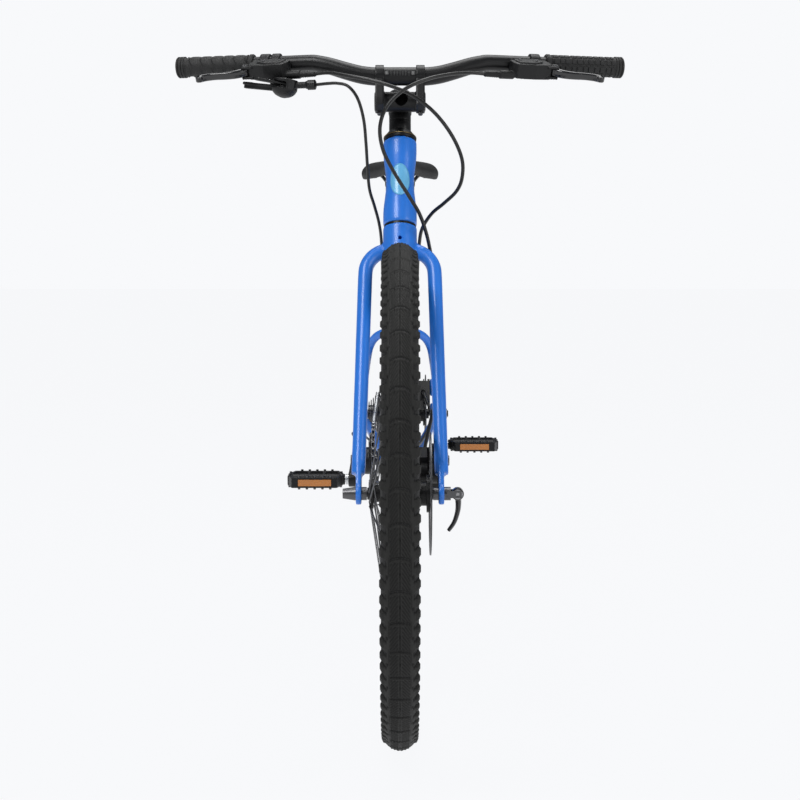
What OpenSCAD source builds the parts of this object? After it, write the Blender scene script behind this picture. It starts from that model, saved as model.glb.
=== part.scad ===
// City bicycle with a rigid unicrown fork, hydraulic disc brakes and a single chainring.
// Row frame: +Z up, the bicycle faces -Y, its left side is +X. Millimetres.
// The origin lies on the ground, midway between the wheel axles.

/* [Stance] */
// Distance between the wheel axles
wheelbase = 1048; // [1044:1:1056]
// Outer radius of both tyres
wheel_r = 324; // [322:1:325]
// Front axle to bottom bracket, measured along the ground
front_centre = 622; // [618:1:626]
// How far the bottom bracket lies below the axles
bb_drop = 40; // [36:1:44]

/* [Steering] */
// Angle of the steering axis above the horizon
head_angle = 70; // [69:0.5:71]
// Distance of the front axle in front of the steering axis
fork_offset = 44; // [42:1:46]
// Steering axis foot to the bottom of the head tube
head_low = 390; // [386:1:394]
// Length of the head tube
head_len = 128; // [118:1:130]
// Forward reach of the stem
stem_reach = 60; // [58:1:64]
// Half the width of the handlebar, to its ends
bar_half = 317; // [300:1:330]

/* [Seat] */
// Angle of the seat tube above the horizon
seat_angle = 73; // [72:0.5:74]
// Length of the seat tube from the bottom bracket
seat_tube_len = 395; // [390:1:410]
// Radius of the seatpost
post_r = 13.6; // [12.5:0.1:13.6]

/* [Drivetrain] */
// Teeth on the chainring
ring_teeth = 34; // [32:2:36]
// Teeth on the sprocket that carries the chain
cog_teeth = 20; // [18:1:20]
// Length of each crank arm between its centres
crank_len = 165; // [160:1:170]
// Angle of the right crank arm below the horizon, towards the front
crank_angle = 3; // [0:1:10]

/* [Hidden] */
$fn = 48;
WHEEL_FN = 128;
HULL_FN = 24;
EPS = 0.01;

front_axle = [0, -wheelbase / 2, wheel_r];
rear_axle = [0, wheelbase / 2, wheel_r];
bb = [0, front_centre - wheelbase / 2, wheel_r - bb_drop];
steer_foot = front_axle + fork_offset * [0, sin(head_angle), -cos(head_angle)];
head_high = head_low + head_len;

// paints and finishes
frame_blue = [0.09, 0.27, 0.72];
satin_black = [0.06, 0.06, 0.065];
tyre_black = [0.09, 0.09, 0.09];
steel = [0.62, 0.62, 0.62];
dark_steel = [0.22, 0.22, 0.23];
amber = [0.85, 0.38, 0.05];

// tyre and rim sections
tyre_w = 45;
bead_r = 279.5;
rim_in_r = 262;
rim_out_r = 283;
rim_w = 25;
casing_wall = 3.6;
spokes_per_side = 16;
spoke_r = 1;
nipple_r = 2.1;
cross_holes = 3;

// hubs
front_old = 100;
rear_old = 135;
axle_r = 4.5;
bearing_gap = 0.06;
rotor_r = 80;
rotor_t = 1.8;
front_rotor_x = 39.5;
rear_rotor_x = 52.2;
front_drop_t = 7.5;
rear_drop_t = 6;

// frame tubes
steerer_r = 14.3;
head_r = 23.7;
waist_r = 19.8;
bearing_r = 20.9;
bearing_in_r = 15.1;
bearing_h = 7;
down_r = 21;
top_r = 17.5;
seat_r = 15.9;
shell_r = 20.5;
shell_w = 73;
tube_wall = 1.8;
top_on_head = 495;
down_on_head = 426;
top_on_seat = 350;

// fork
crown_arc_r = 36;
crown_arc_x = 12;
crown_arc_z = 354;
blade_top_r = 10.3;
blade_end_r = 9.2;
blade_end_x = 54.5;
blade_len = 330;
rake_tilt = 7;

// cockpit
cover_h = 15;
spacer_r = 15.6;
stem_low = 560;
stem_h = 32;
bar_rise_z = 590;
bar_clamp_r = 12.7;
bar_r = 11.1;
grip_r = 13.6;
grip_flange_r = 15.4;
grip_len = 114;
bar_bend = [125, 9, 20];
bar_end = [bar_half, 48, 19];
lever_tilt = 27;
lever_pivot = [88, -30];

// drivetrain
pitch = 12.7;
chain_x = -46;
chain_half_h = 4.25;
plate_gap = 1.45;
plate_out = 3.1;
cog_step = 4.35;
cogs = [11, 13, 15, 17, 20, 23, 26, 30, 34];
carrying = 4;
guide_teeth = 11;
guide_c = [rear_axle.y - 2, rear_axle.z - 94];
tension_c = [rear_axle.y - 30, rear_axle.z - 150];
pedal_in = 92;
pedal_w = 91;
pedal_l = 84;
pedal_t = 19;
pedal_spin_r = 5;

// saddle
saddle_pivot = 500;
saddle_top_z = 820;

// ---------- frames of reference ----------
// steering frame: z up the steering axis, -y forwards
module in_steering() translate(steer_foot) rotate([head_angle - 90, 0, 0]) children();
function from_steering(p) = steer_foot + [
    p.x,
    p.y * sin(head_angle) + p.z * cos(head_angle),
    -p.y * cos(head_angle) + p.z * sin(head_angle)
];
// seat tube frame: z up the seat tube from the bottom bracket
module in_seat_tube() translate(bb) rotate([seat_angle - 90, 0, 0]) children();
function on_seat_tube(t) = bb + t * [0, cos(seat_angle), sin(seat_angle)];
bar_centre = from_steering([0, -stem_reach, bar_rise_z]);
// handlebar frame: origin at the outer bend, +x outwards along the grip, -y forwards
bar_dir = bar_end - bar_bend;
bar_sweep = atan2(bar_dir.y, bar_dir.x);
bar_up = atan2(bar_dir.z, norm([bar_dir.x, bar_dir.y]));
module on_bar(side) mirror([side < 0 ? 1 : 0, 0, 0])
    translate(bar_centre + bar_bend) rotate([0, -bar_up, bar_sweep]) children();
// lever frame: the handlebar frame tipped forwards and down about the grip
module on_lever(side) on_bar(side) rotate([lever_tilt, 0, 0]) children();
module at_crank(turn) translate(bb) rotate([turn, 0, 0]) children();

// ---------- shapes ----------
module rod(p, q, r, r_end = undef) {
    v = q - p;
    translate(p) rotate([0, acos(v.z / norm(v)), atan2(v.y, v.x)])
        cylinder(h = norm(v), r1 = r, r2 = is_undef(r_end) ? r : r_end);
}
module rod_x(x0, x1, r) translate([x0, 0, 0]) rotate([0, 90, 0]) cylinder(h = x1 - x0, r = r);
module cone_x(x0, x1, r0, r1) translate([x0, 0, 0]) rotate([0, 90, 0]) cylinder(h = x1 - x0, r1 = r0, r2 = r1);
// a flat plate in the y-z plane, from x0 outwards
module plate_x(x0, t) translate([x0, 0, 0]) rotate([90, 0, 90]) linear_extrude(t) children();
module turned_x() rotate([0, 90, 0]) rotate_extrude($fn = WHEEL_FN) children();
module both_sides() for (s = [0, 1]) mirror([s, 0, 0]) children();
// a bar with round ends between two points of a plane
module link_2d(p, q, rp, rq) {
    d = q - p;
    a = atan2(d.y, d.x);
    n = [-sin(a), cos(a)];
    translate(p) circle(rp);
    translate(q) circle(rq);
    polygon([p + (rp - EPS) * n, q + (rq - EPS) * n, q - (rq - EPS) * n, p - (rp - EPS) * n]);
}

// ---------- swept tubes ----------
function bend(p, i) = p[max(0, min(len(p) - 1, i))];
function spline_point(a, b, c, d, t) =
    0.5 * (2 * b + (c - a) * t + (2 * a - 5 * b + 4 * c - d) * t * t + (3 * b - a - 3 * c + d) * t * t * t);
function smooth(p, n) = concat(
    [for (i = [0:len(p) - 2], k = [0:n - 1])
        spline_point(bend(p, i - 1), p[i], p[i + 1], bend(p, i + 2), k / n)],
    [p[len(p) - 1]]
);
function unit(v) = v / norm(v);
function tangent_at(p, i) = unit(bend(p, i + 1) - bend(p, i - 1));
// carries one side vector along the route, so that the rings don't twist
function carried(p, i, u) =
    i >= len(p) ? [] :
    let (t = tangent_at(p, i), v = unit(u - (u * t) * t)) concat([v], carried(p, i + 1, v));
module swept(p, r, sides = 8, r_end = undef) {
    n = len(p);
    first = tangent_at(p, 0);
    start = abs(first.x) < 0.9 ? cross(first, [1, 0, 0]) : cross(first, [0, 0, 1]);
    u = carried(p, 0, unit(start));
    last_r = is_undef(r_end) ? r : r_end;
    points = [for (i = [0:n - 1])
        let (w = cross(tangent_at(p, i), u[i]), ri = r + (last_r - r) * i / (n - 1))
        for (k = [0:sides - 1]) p[i] + ri * (cos(360 * k / sides) * u[i] + sin(360 * k / sides) * w)];
    walls = [for (i = [0:n - 2], k = [0:sides - 1])
        let (k2 = (k + 1) % sides)
        each [
            [i * sides + k, (i + 1) * sides + k, (i + 1) * sides + k2],
            [i * sides + k, (i + 1) * sides + k2, i * sides + k2]
        ]];
    caps = [[for (k = [0:sides - 1]) k], [for (k = [0:sides - 1]) n * sides - 1 - k]];
    polyhedron(points, concat(walls, caps), convexity = 8);
}

// ---------- main frame ----------
module head_tube_outline() rotate_extrude() polygon(concat(
    [[0, head_low], [head_r, head_low], [head_r, head_low + 15]],
    [for (i = [1:7]) let (t = i / 8)
        [waist_r + (head_r - waist_r) * pow(cos(180 * t), 2), head_low + 15 + (head_len - 30) * t]],
    [[head_r, head_high - 15], [head_r, head_high], [0, head_high]]
));
module head_tube() color(frame_blue) in_steering() difference() {
    head_tube_outline();
    translate([0, 0, head_low - 1]) cylinder(h = head_len + 2, r = 17.2);
    for (z = [head_low - 1, head_high - bearing_h])
        translate([0, 0, z]) cylinder(h = bearing_h + 1, r = bearing_r + 0.05);
}
module down_tube_solid(grow = 0) rod(from_steering([0, 0, down_on_head]), bb, down_r + grow);
module top_tube_solid(grow = 0)
    rod(from_steering([0, 0, top_on_head]), on_seat_tube(top_on_seat), top_r + grow);
module seat_tube_solid(grow = 0) in_seat_tube() cylinder(h = seat_tube_len, r = seat_r + grow);
module shell_solid(r = shell_r) translate(bb) rod_x(-shell_w / 2, shell_w / 2, r);
bottle_at = [292, 356];
hose_guide_at = [146, 324, 462];
function on_down_tube(t) = let (p = from_steering([0, 0, down_on_head])) p + t * unit(bb - p);
boss_r = 2.1;
boss_h = 9;
// the plane that parts the seat tube from the down tube above the bottom bracket
down_rise = on_down_tube(0) - bb;
mitre_angle = (atan2(down_rise.z, down_rise.y) + seat_angle) / 2 - 90;
module mitre_side(side) translate(bb) rotate([mitre_angle, 0, 0]) mirror([0, side, 0])
    translate([-60, 0, -30]) cube([120, 90, 120]);
module bottle_boss(t, r, low, high) {
    d = bb - on_down_tube(0);
    translate(on_down_tube(t)) rotate([atan2(d.z, d.y), 0, 0]) translate([0, 0, low]) cylinder(h = high - low, r = r);
}
module down_tube() color(frame_blue) difference() {
    union() {
        down_tube_solid();
        for (s = bottle_at) bottle_boss(s, 5, 0, down_r + 1);
        for (s = hose_guide_at) translate(on_down_tube(s)) rod_x(-23.2, 23.2, 4);
    }
    difference() {
        down_tube_solid(-tube_wall);
        for (s = bottle_at) bottle_boss(s, 5, down_r + 1 - boss_h, down_r + 1);
    }
    for (s = bottle_at) bottle_boss(s, boss_r, down_r + 1 - boss_h - 2, down_r + 5);
    in_steering() translate([0, 0, head_low - 40]) cylinder(h = head_len + 80, r = head_r + 0.02);
    shell_solid(shell_r + 0.02);
    mitre_side(0);
}
module top_tube() color(frame_blue) difference() {
    top_tube_solid();
    top_tube_solid(-tube_wall);
    in_steering() translate([0, 0, head_low - 40]) cylinder(h = head_len + 80, r = head_r + 0.02);
    seat_tube_solid(0.02);
}
module seat_tube() color(frame_blue) difference() {
    seat_tube_solid();
    in_seat_tube() translate([0, 0, 40]) cylinder(h = seat_tube_len, r = post_r + 0.05);
    shell_solid(shell_r + 0.02);
    mitre_side(1);
}
module bottom_bracket_shell() color(frame_blue) difference() {
    shell_solid();
    translate(bb) rod_x(-shell_w, shell_w, 17.4);
}
chainstay_path = [
    bb + [21, 16, 1], bb + [24, 45, 3], bb + [29, 75, 5], bb + [38, 127, 10], bb + [48, 200, 17],
    bb + [60, 290, 26], bb + [69, 350, 31], rear_axle + [73, -44, -7], rear_axle + [73.5, -21, -3]
];
module rear_bracket(ear, root) translate([0, rear_axle.y, rear_axle.z]) plate_x(59.9, 6) link_2d(ear, root, 7, 8);
module chainstays() color(frame_blue) difference() {
    union() {
        both_sides() swept(smooth(chainstay_path, 3), 9, 12, 7.6);
        rear_bracket([-75.4, 22.1], [-74, -6]);
    }
    shell_solid(shell_r + 0.02);
    rear_dropout_solids(0.02);
}
seatstay_path = [
    on_seat_tube(232) + [6, 4, 1], on_seat_tube(232) + [25, 24, -1], on_seat_tube(232) + [43, 44, -10],
    on_seat_tube(232) + [54, 62, -26], on_seat_tube(232) + [60, 90, -50], rear_axle + [72, -62, 59],
    rear_axle + [73.5, -30, 28]
];
module seatstays() color(frame_blue) difference() {
    union() {
        both_sides() swept(smooth(seatstay_path, 4), 7.8, 12, 7.2);
        rear_bracket([-39.7, 67.8], [-50, 48]);
    }
    seat_tube_solid(0.02);
    rear_dropout_solids(0.02);
}
rack_hole_r = 2.1;
rack_at = [20, 21];
hanger_at = [9, -30];
module dropout_outline() difference() {
    union() {
        circle(17);
        link_2d([0, 0], [-32, -5], 14, 10);
        link_2d([0, 8], [-36, 34], 11, 8.5);
        link_2d([0, 6], rack_at, 9, 6.5);
    }
    circle(5.2);
    translate([-5.2, -22]) square([10.4, 22]);
    translate(rack_at) circle(rack_hole_r);
}
module dropout_plate(grow) translate([0, rear_axle.y, rear_axle.z])
    plate_x(rear_old / 2 - grow, rear_drop_t + 2 * grow) dropout_outline();
module rear_dropout_solids(grow = 0) {
    both_sides() dropout_plate(grow);
    translate([-rear_old / 2 - rear_drop_t - grow, rear_axle.y, rear_axle.z]) difference() {
        plate_x(0, rear_drop_t + 2 * grow) link_2d([13, -4], hanger_at, 7, 8);
        translate([-20, hanger_at.x, hanger_at.y]) rod_x(0, 40, 4.95);
        rod_x(-20, 20, 5.2);
    }
}
module rear_dropouts() color(frame_blue) rear_dropout_solids();
module seat_collar() color(satin_black) in_seat_tube() translate([0, 0, seat_tube_len - 13]) difference() {
    union() {
        cylinder(h = 15, r = seat_r + 3.6);
        translate([-8, seat_r + 1, 2]) cube([16, 11, 11]);
        translate([0, seat_r + 8, 7.5]) rod_x(-11, 11, 3);
    }
    translate([0, 0, -1]) cylinder(h = 14, r = seat_r);
    cylinder(h = 30, r = post_r + 0.06);
    translate([-1, seat_r - 4, -1]) cube([2, 20, 17]);
}
module headset_bearings() color(steel) in_steering()
    for (z = [head_low, head_high - bearing_h]) translate([0, 0, z]) difference() {
        cylinder(h = bearing_h, r = bearing_r);
        translate([0, 0, -1]) cylinder(h = bearing_h + 2, r = bearing_in_r);
    }
module bottom_bracket_cups() color(satin_black) translate(bb) both_sides() difference() {
    union() {
        rod_x(shell_w / 2 - 18, shell_w / 2, 17.35);
        rod_x(shell_w / 2, shell_w / 2 + 3, 20.5);
    }
    rod_x(0, 60, 8.06);
}

// ---------- brakes ----------
// caliper frame: origin on the axle, z towards the caliper, x along the axle; the rotor runs at x = 0
module caliper(inner, outer, fitting) difference() {
    union() {
        translate([-inner, -24, 56]) cube([inner + outer, 48, 30]);
        translate([-inner + 2, 0, 62]) rotate([0, 90, 0]) cylinder(h = inner + outer - 4, r = 17);
        for (s = [-1, 1]) translate([outer - 13, s * 29, 73]) rotate([0, 90, 0]) cylinder(h = 13, r = 6.5);
        translate([-6, 0, 84]) rotate([fitting, 0, 0]) cylinder(h = 16, r = 4.5);
    }
    translate([-3.2, -60, 30]) cube([6.4, 120, 53]);
    translate([-6, 0, 84]) rotate([fitting, 0, 0]) translate([0, 0, 6]) cylinder(h = 20, r = hose_r + 0.5);
}
front_caliper_turn = -50;
rear_caliper_turn = 52;
module front_caliper() color(satin_black) in_steering() translate([front_rotor_x, -fork_offset, 0])
    rotate([front_caliper_turn, 0, 0]) caliper(14, 12, 50);
module rear_caliper() color(satin_black) translate(rear_axle + [rear_rotor_x, 0, 0])
    rotate([rear_caliper_turn, 0, 0]) caliper(14, 7.5, 38);
module rotor(x) color(steel) translate([x, 0, 0]) plate_x(-rotor_t / 2, rotor_t) difference() {
    circle(rotor_r, $fn = 96);
    for (i = [0:5]) rotate(i * 60) polygon(concat(
        [for (a = [-25:10:25]) 65 * [cos(a), sin(a)]],
        [for (a = [14:-7:-14]) 29 * [cos(a + 8), sin(a + 8)]]
    ));
    for (i = [0:23]) rotate(i * 15) translate([i % 2 == 0 ? 69.5 : 75, 0]) circle(2.6);
    circle(16.05);
    for (i = [0:5]) rotate(i * 60 + 30) translate([22, 0]) circle(2.6);
}

// ---------- wheels ----------
module tyre() color(tyre_black) turned_x() difference() {
    translate([wheel_r - tyre_w / 2, 0]) circle(tyre_w / 2, $fn = 64);
    translate([wheel_r - tyre_w / 2, 0]) circle(tyre_w / 2 - casing_wall, $fn = 64);
    translate([bead_r - 12, -7.4]) square([16, 14.8]);
    for (s = [0, 1]) mirror([0, s]) translate([bead_r - 12, 10.3]) square([12 + rim_out_r - bead_r + EPS, 12]);
}
valve_r = 3;
module rim() color(satin_black) difference() {
    turned_x() polygon([
        [rim_in_r, -4], [rim_in_r, 4], [rim_in_r + 3, 9], [rim_in_r + 9, rim_w / 2], [rim_out_r, rim_w / 2],
        [rim_out_r, rim_w / 2 - 2], [bead_r - 3, rim_w / 2 - 2.4], [bead_r - 4, 6], [bead_r - 6, 4],
        [bead_r - 6, -4], [bead_r - 4, -6], [bead_r - 3, -rim_w / 2 + 2.4], [rim_out_r, -rim_w / 2 + 2],
        [rim_out_r, -rim_w / 2], [rim_in_r + 9, -rim_w / 2], [rim_in_r + 3, -9]
    ]);
    rotate([5.6, 0, 0]) translate([0, 0, rim_in_r - 10]) cylinder(h = 40, r = valve_r + 0.3);
}
// one side's spokes: flange_x and flange_r place their inner ends, rim_x their outer ones
module spoke_set(flange_x, flange_r, rim_x, first) for (j = [0:spokes_per_side - 1]) {
    step = 360 / spokes_per_side;
    s = j % 2 == 0 ? 1 : -1;
    at_rim = first + j * step;
    at_hub = at_rim + s * cross_holes * step;
    x_hub = flange_x + s * (s * flange_x > 0 ? 3.7 : 2.6);
    hub_end = [x_hub, flange_r * sin(at_hub), flange_r * cos(at_hub)];
    rim_end = [rim_x, (rim_in_r - 0.4) * sin(at_rim), (rim_in_r - 0.4) * cos(at_rim)];
    along = unit(hub_end - rim_end);
    rod(rim_end + 10.5 * along, hub_end, spoke_r);
    rod(rim_end, rim_end + 11 * along, nipple_r);
}
module spokes(left_x, left_r, right_x, right_r) color(steel) {
    spoke_set(left_x, left_r, 2.4, 0);
    spoke_set(right_x, right_r, -2.4, 180 / spokes_per_side);
}
front_flange = [21.5, 20.5, -36, 16.5];
rear_flange = [34, 20.5, -20, 20.5];
module hub_flange(x, r, t = 3) difference() {
    rod_x(x - t / 2, x + t / 2, r + 3.2);
    for (j = [0:spokes_per_side - 1]) rotate([j * 360 / spokes_per_side, 0, 0])
        translate([0, 0, r]) rod_x(x - t, x + t, 1.25);
}
module front_hub() color(satin_black) difference() {
    union() {
        hub_flange(front_flange[0], front_flange[1]);
        hub_flange(front_flange[2], front_flange[3]);
        rod_x(-35, front_rotor_x + 1.5, 11);
        cone_x(-42.5, -37, 7.6, 9.5);
        rod_x(-37.2, -34, 13.5);
        rod_x(22, front_rotor_x + rotor_t / 2 - EPS, 15.9);
        rod_x(front_rotor_x - rotor_t / 2 - 4, front_rotor_x - rotor_t / 2, 24.5);
        rod_x(front_rotor_x, 42.9, 8);
    }
    rod_x(-60, 60, axle_r + bearing_gap);
}
module rear_hub() color(satin_black) difference() {
    union() {
        hub_flange(rear_flange[0], rear_flange[1]);
        hub_flange(rear_flange[2], rear_flange[3]);
        rod_x(-22, rear_rotor_x + 1.5, 14);
        rod_x(34, rear_rotor_x + rotor_t / 2 - EPS, 15.9);
        rod_x(rear_rotor_x - rotor_t / 2 - 4, rear_rotor_x - rotor_t / 2, 24.5);
        rod_x(rear_rotor_x, 59, 10);
    }
    rod_x(-80, 80, axle_r + bearing_gap);
}
// the fixed parts of a quick-release axle, with its lock nuts and the nut of its skewer
module quick_axle(old, drop_t, left_len, right_len, nut_len, turn) {
    half = old / 2;
    rod_x(-half - drop_t + 2, half + drop_t - 2, axle_r);
    rod_x(half - left_len, half, 8.6);
    rod_x(-half, -half + right_len, 8.6);
    difference() {
        cone_x(-half - drop_t - nut_len, -half - drop_t, 6.4, 9);
        rod_x(-half - drop_t - nut_len - 1, -half - drop_t - nut_len + 3, 3.2);
    }
    rod_x(-half - drop_t - nut_len + 3, -half + 1, 2.5);
    rod_x(half + drop_t, half + drop_t + 8.4, 8.8);
    rotate([turn, 0, 0]) translate([half + drop_t, 0, 0]) difference() {
        for (y = [-9.4, 7.4]) translate([3, y, -4.6]) cube([qr_out + 2, 2, 9.2]);
        translate([qr_out, 0, 0]) rotate([90, 0, 0]) cylinder(h = 30, r = 2.55, center = true);
    }
}
module front_axle_parts() color(steel) translate(front_axle) quick_axle(front_old, front_drop_t, 6.8, 6.8, 17, 0);
module rear_axle_parts() color(steel) translate(rear_axle) quick_axle(rear_old, rear_drop_t, 6.5, 1.8, 15, rear_qr_turn);
qr_out = 17.5;
rear_qr_turn = -112;
qr_lever_path = [[0, 0], [1, -12], [0, -24], [-4.5, -38], [-12, -50]];
module qr_lever(x) color(satin_black) translate([x, 0, 0]) rotate([90, 0, 0]) union() {
    translate([0, 0, -6.5]) cylinder(h = 13, r = 8.2);
    linear_extrude(9, center = true) for (i = [0:3])
        link_2d(qr_lever_path[i], qr_lever_path[i + 1], 4.6 - 0.7 * i, 3.9 - 0.7 * i);
    translate([0, 0, -9]) cylinder(h = 18, r = 2.5);
}
module front_qr_lever() translate(front_axle) qr_lever(front_old / 2 + front_drop_t + qr_out);
module rear_qr_lever() translate(rear_axle) rotate([rear_qr_turn, 0, 0])
    qr_lever(rear_old / 2 + rear_drop_t + qr_out);

// ---------- fork ----------
fork_hole_r = 2.8;
// the lean at which the straight blade leaves the crown's arc
blade_lean = let (v = [blade_end_x - crown_arc_x, blade_len - crown_arc_r])
    acos(crown_arc_r / norm(v)) - atan2(v.y, v.x);
blade_top = [crown_arc_x, 0, -crown_arc_r] + crown_arc_r * [cos(blade_lean), 0, sin(blade_lean)];
blade_path = concat(
    [for (a = [90:-9:9]) [crown_arc_x, 0, -crown_arc_r] + crown_arc_r * [cos(a), 0, sin(a)]],
    [for (t = [0:0.2:1]) blade_top + t * ([blade_end_x, 0, -blade_len] - blade_top)]
);
module fork_blade() swept(blade_path, blade_top_r, 24, blade_end_r);
module fork_dropout() plate_x(front_old / 2, front_drop_t) difference() {
    union() {
        translate([-fork_offset, 0]) circle(14.5);
        link_2d([-fork_offset, 0], [-fork_offset + 3.5, 36], 12, 8.6);
    }
    translate([-fork_offset, 0]) circle(4.9);
    translate([-fork_offset - 4.9, -30]) square([9.8, 30]);
}
// where the front caliper bolts on, in the y-z plane of the steering frame
front_ears = [[-6.7, 69.1], [30.6, 24.7]];
module fork() color(frame_blue) in_steering() difference() {
    union() {
        translate([0, 0, 341]) cylinder(h = head_low - 3 - 341, r = head_r);
        translate([0, 0, 360]) cylinder(h = stem_low + stem_h - 3 - 360, r = steerer_r);
        translate([0, 0, crown_arc_z]) rotate([-rake_tilt, 0, 0]) both_sides() fork_blade();
        both_sides() fork_dropout();
        plate_x(51.6, 5) union() {
            link_2d([-34, 76], front_ears[0], 9, 7);
            link_2d([-38, 42], front_ears[1], 9, 7);
            link_2d(front_ears[0], front_ears[1], 7, 7);
        }
    }
    translate([0, 0, 330]) cylinder(h = 400, r = steerer_r - 2.4);
    translate([0, -60, 364]) rotate([-90, 0, 0]) cylinder(h = 58, r = fork_hole_r);
}

// ---------- cockpit ----------
module headset_cover() color(satin_black) in_steering() difference() {
    union() {
        translate([0, 0, head_low - 3 + EPS]) cylinder(h = 2.7, r = head_r - 0.4);
        translate([0, 0, head_low - 1]) cylinder(h = bearing_h, r = bearing_in_r - 0.05);
        translate([0, 0, head_high - bearing_h + 1]) cylinder(h = bearing_h, r = bearing_in_r - 0.05);
        translate([0, 0, head_high + 0.3]) cylinder(h = 5, r = head_r - 0.2);
        translate([0, 0, head_high + 5.3]) cylinder(h = cover_h - 5, r1 = head_r - 0.6, r2 = spacer_r + 0.6);
        translate([0, 0, head_high + cover_h + 0.3]) cylinder(h = 14, r = spacer_r);
        translate([0, 0, head_high + cover_h + 14]) cylinder(h = 1.4, r = spacer_r - 0.7);
        translate([0, 0, head_high + cover_h + 15.2])
            cylinder(h = stem_low - head_high - cover_h - 15.2, r = spacer_r);
    }
    cylinder(h = 700, r = steerer_r);
}
bar_at = [-stem_reach, bar_rise_z];
cross_at = [-38, 562];
strap_x = 22.5;
strap_w = 12;
cap_line = -stem_reach - 1;
module stem() color(satin_black) in_steering() difference() {
    union() {
        translate([0, 0, stem_low]) cylinder(h = stem_h, r = 18);
        translate([-14, -34, stem_low]) cube([28, 24, 16]);
        translate([0, cross_at.x, cross_at.y]) rod_x(-strap_x - strap_w, strap_x + strap_w, 14);
        translate([-10, 16, stem_low + 2]) cube([20, 11, stem_h - 4]);
        both_sides() plate_x(strap_x, strap_w) difference() {
            union() {
                link_2d(bar_at, cross_at, bar_clamp_r + 3, 13.9);
                polygon([[cap_line, 592], [cap_line, 541], [-53, 539], [-38, 549], [-38, 575]]);
            }
            translate([-90, 500]) square([90 + cap_line + 0.3, 150]);
        }
    }
    translate([0, 0, stem_low - 1]) cylinder(h = stem_h + 2, r = steerer_r);
    translate([0, bar_at.x, bar_at.y]) rod_x(-40, 40, bar_clamp_r);
    translate([1.5, -70, 561]) rotate([-90, 0, 0]) cylinder(h = 42, r = 9.6);
    translate([-0.8, 12, 500]) cube([1.6, 40, 150]);
    for (z = [566, 584]) translate([0, 22, z]) rod_x(-20, 20, 2.55);
    both_sides() translate([strap_x + strap_w / 2, -68, 548]) rotate([-90, 0, 0]) cylinder(h = 26, r = 2.55);
}
module stem_caps() color(satin_black) in_steering() difference() {
    both_sides() plate_x(strap_x, strap_w) difference() {
        union() {
            translate(bar_at) circle(bar_clamp_r + 3);
            link_2d([-67, 543], [-67, 586], 6, 6);
            translate([-69, 543]) square([8, 45]);
        }
        translate([cap_line, 500]) square([60, 150]);
    }
    translate([0, bar_at.x, bar_at.y]) rod_x(-40, 40, bar_clamp_r);
    both_sides() translate([strap_x + strap_w / 2, -90, 548]) rotate([-90, 0, 0]) cylinder(h = 40, r = 2.55);
}
module stem_bolts() color(dark_steel) in_steering() {
    both_sides() translate([strap_x + strap_w / 2, -50, 548]) rotate([90, 0, 0]) union() {
        cylinder(h = 23, r = 2.5);
        translate([0, 0, 23.1]) cylinder(h = 3.5, r = 4);
    }
    for (z = [566, 584]) translate([0, 22, z]) union() {
        rod_x(-14.5, -10, 4);
        rod_x(-10.5, 9, 2.5);
    }
    translate([0, 0, stem_low + stem_h]) cylinder(h = 4, r = 17);
    translate([0, 0, stem_low + stem_h + 4]) cylinder(h = 2.5, r = 5);
}
bar_path = [[23, 0, 0], [40, 0, 0], [56, 0.5, 2.4], [76, 2, 8], [98, 4.5, 14.8], [113, 6.6, 18.3], bar_bend];
module handlebar() color(satin_black) {
    translate(bar_centre) rod_x(-28, 28, bar_clamp_r);
    both_sides() translate(bar_centre) swept(smooth(bar_path, 3), bar_clamp_r - 0.15, 24, bar_r - 0.15);
    for (s = [-1, 1]) on_bar(s) rod_x(-4, norm(bar_dir) - 3, bar_r);
}
module grip() {
    end = norm(bar_dir);
    difference() {
        union() {
            rod_x(end - grip_len, end, grip_r);
            for (x = [end - grip_len, end - 5]) rod_x(x, x + 5, grip_flange_r);
        }
        rod_x(0, end - 2.8, bar_r + 0.01);
    }
}
module grips() color(satin_black) for (s = [-1, 1]) on_bar(s) grip();
// the fixed half of a hydraulic brake lever: clamp, reservoir and hose fitting
module brake_body() difference() {
    union() {
        rod_x(58, 72, bar_r + 3.6);
        translate([0, 0, -11]) linear_extrude(22)
            polygon([[26, -12], [34, -33], [81.5, -33], [82.5, -22], [78, -11]]);
        for (z = [-9, 5.6]) translate([76, -36, z]) cube([17, 14, 3.4]);
        translate([14, -24, -8]) rod_x(0, 18, 5.2);
        translate([-10, -24, -8]) rod_x(0, 25, 4.2);
        translate([58, -20, -7]) cube([14, 12, 14]);
    }
    rod_x(-20, 200, bar_r);
    translate([-12, -24, -8]) rod_x(0, 16, hose_r + 0.7);
    translate([lever_pivot.x, lever_pivot.y, -12]) cylinder(h = 24, r = 2.55);
}
module brake_body_left() color(satin_black) on_lever(1) brake_body();
module brake_body_right() color(satin_black) on_lever(-1) brake_body();
blade_line = [[88, -30], [99, -39], [114, -43], [129, -44], [141, -48], [149, -54]];
blade_half = [5, 4.2, 3.6, 3.4, 3.4, 3];
module brake_lever() {
    difference() {
        translate([0, 0, -5.2]) linear_extrude(10.4) for (i = [0:4])
            link_2d(blade_line[i], blade_line[i + 1], blade_half[i], blade_half[i + 1]);
        translate([74, -50, -8]) cube([10, 40, 16]);
    }
    translate([lever_pivot.x, lever_pivot.y, -8.8]) cylinder(h = 17.6, r = 2.5);
}
module brake_lever_left() color(satin_black) on_lever(1) brake_lever();
module brake_lever_right() color(satin_black) on_lever(-1) brake_lever();
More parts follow.
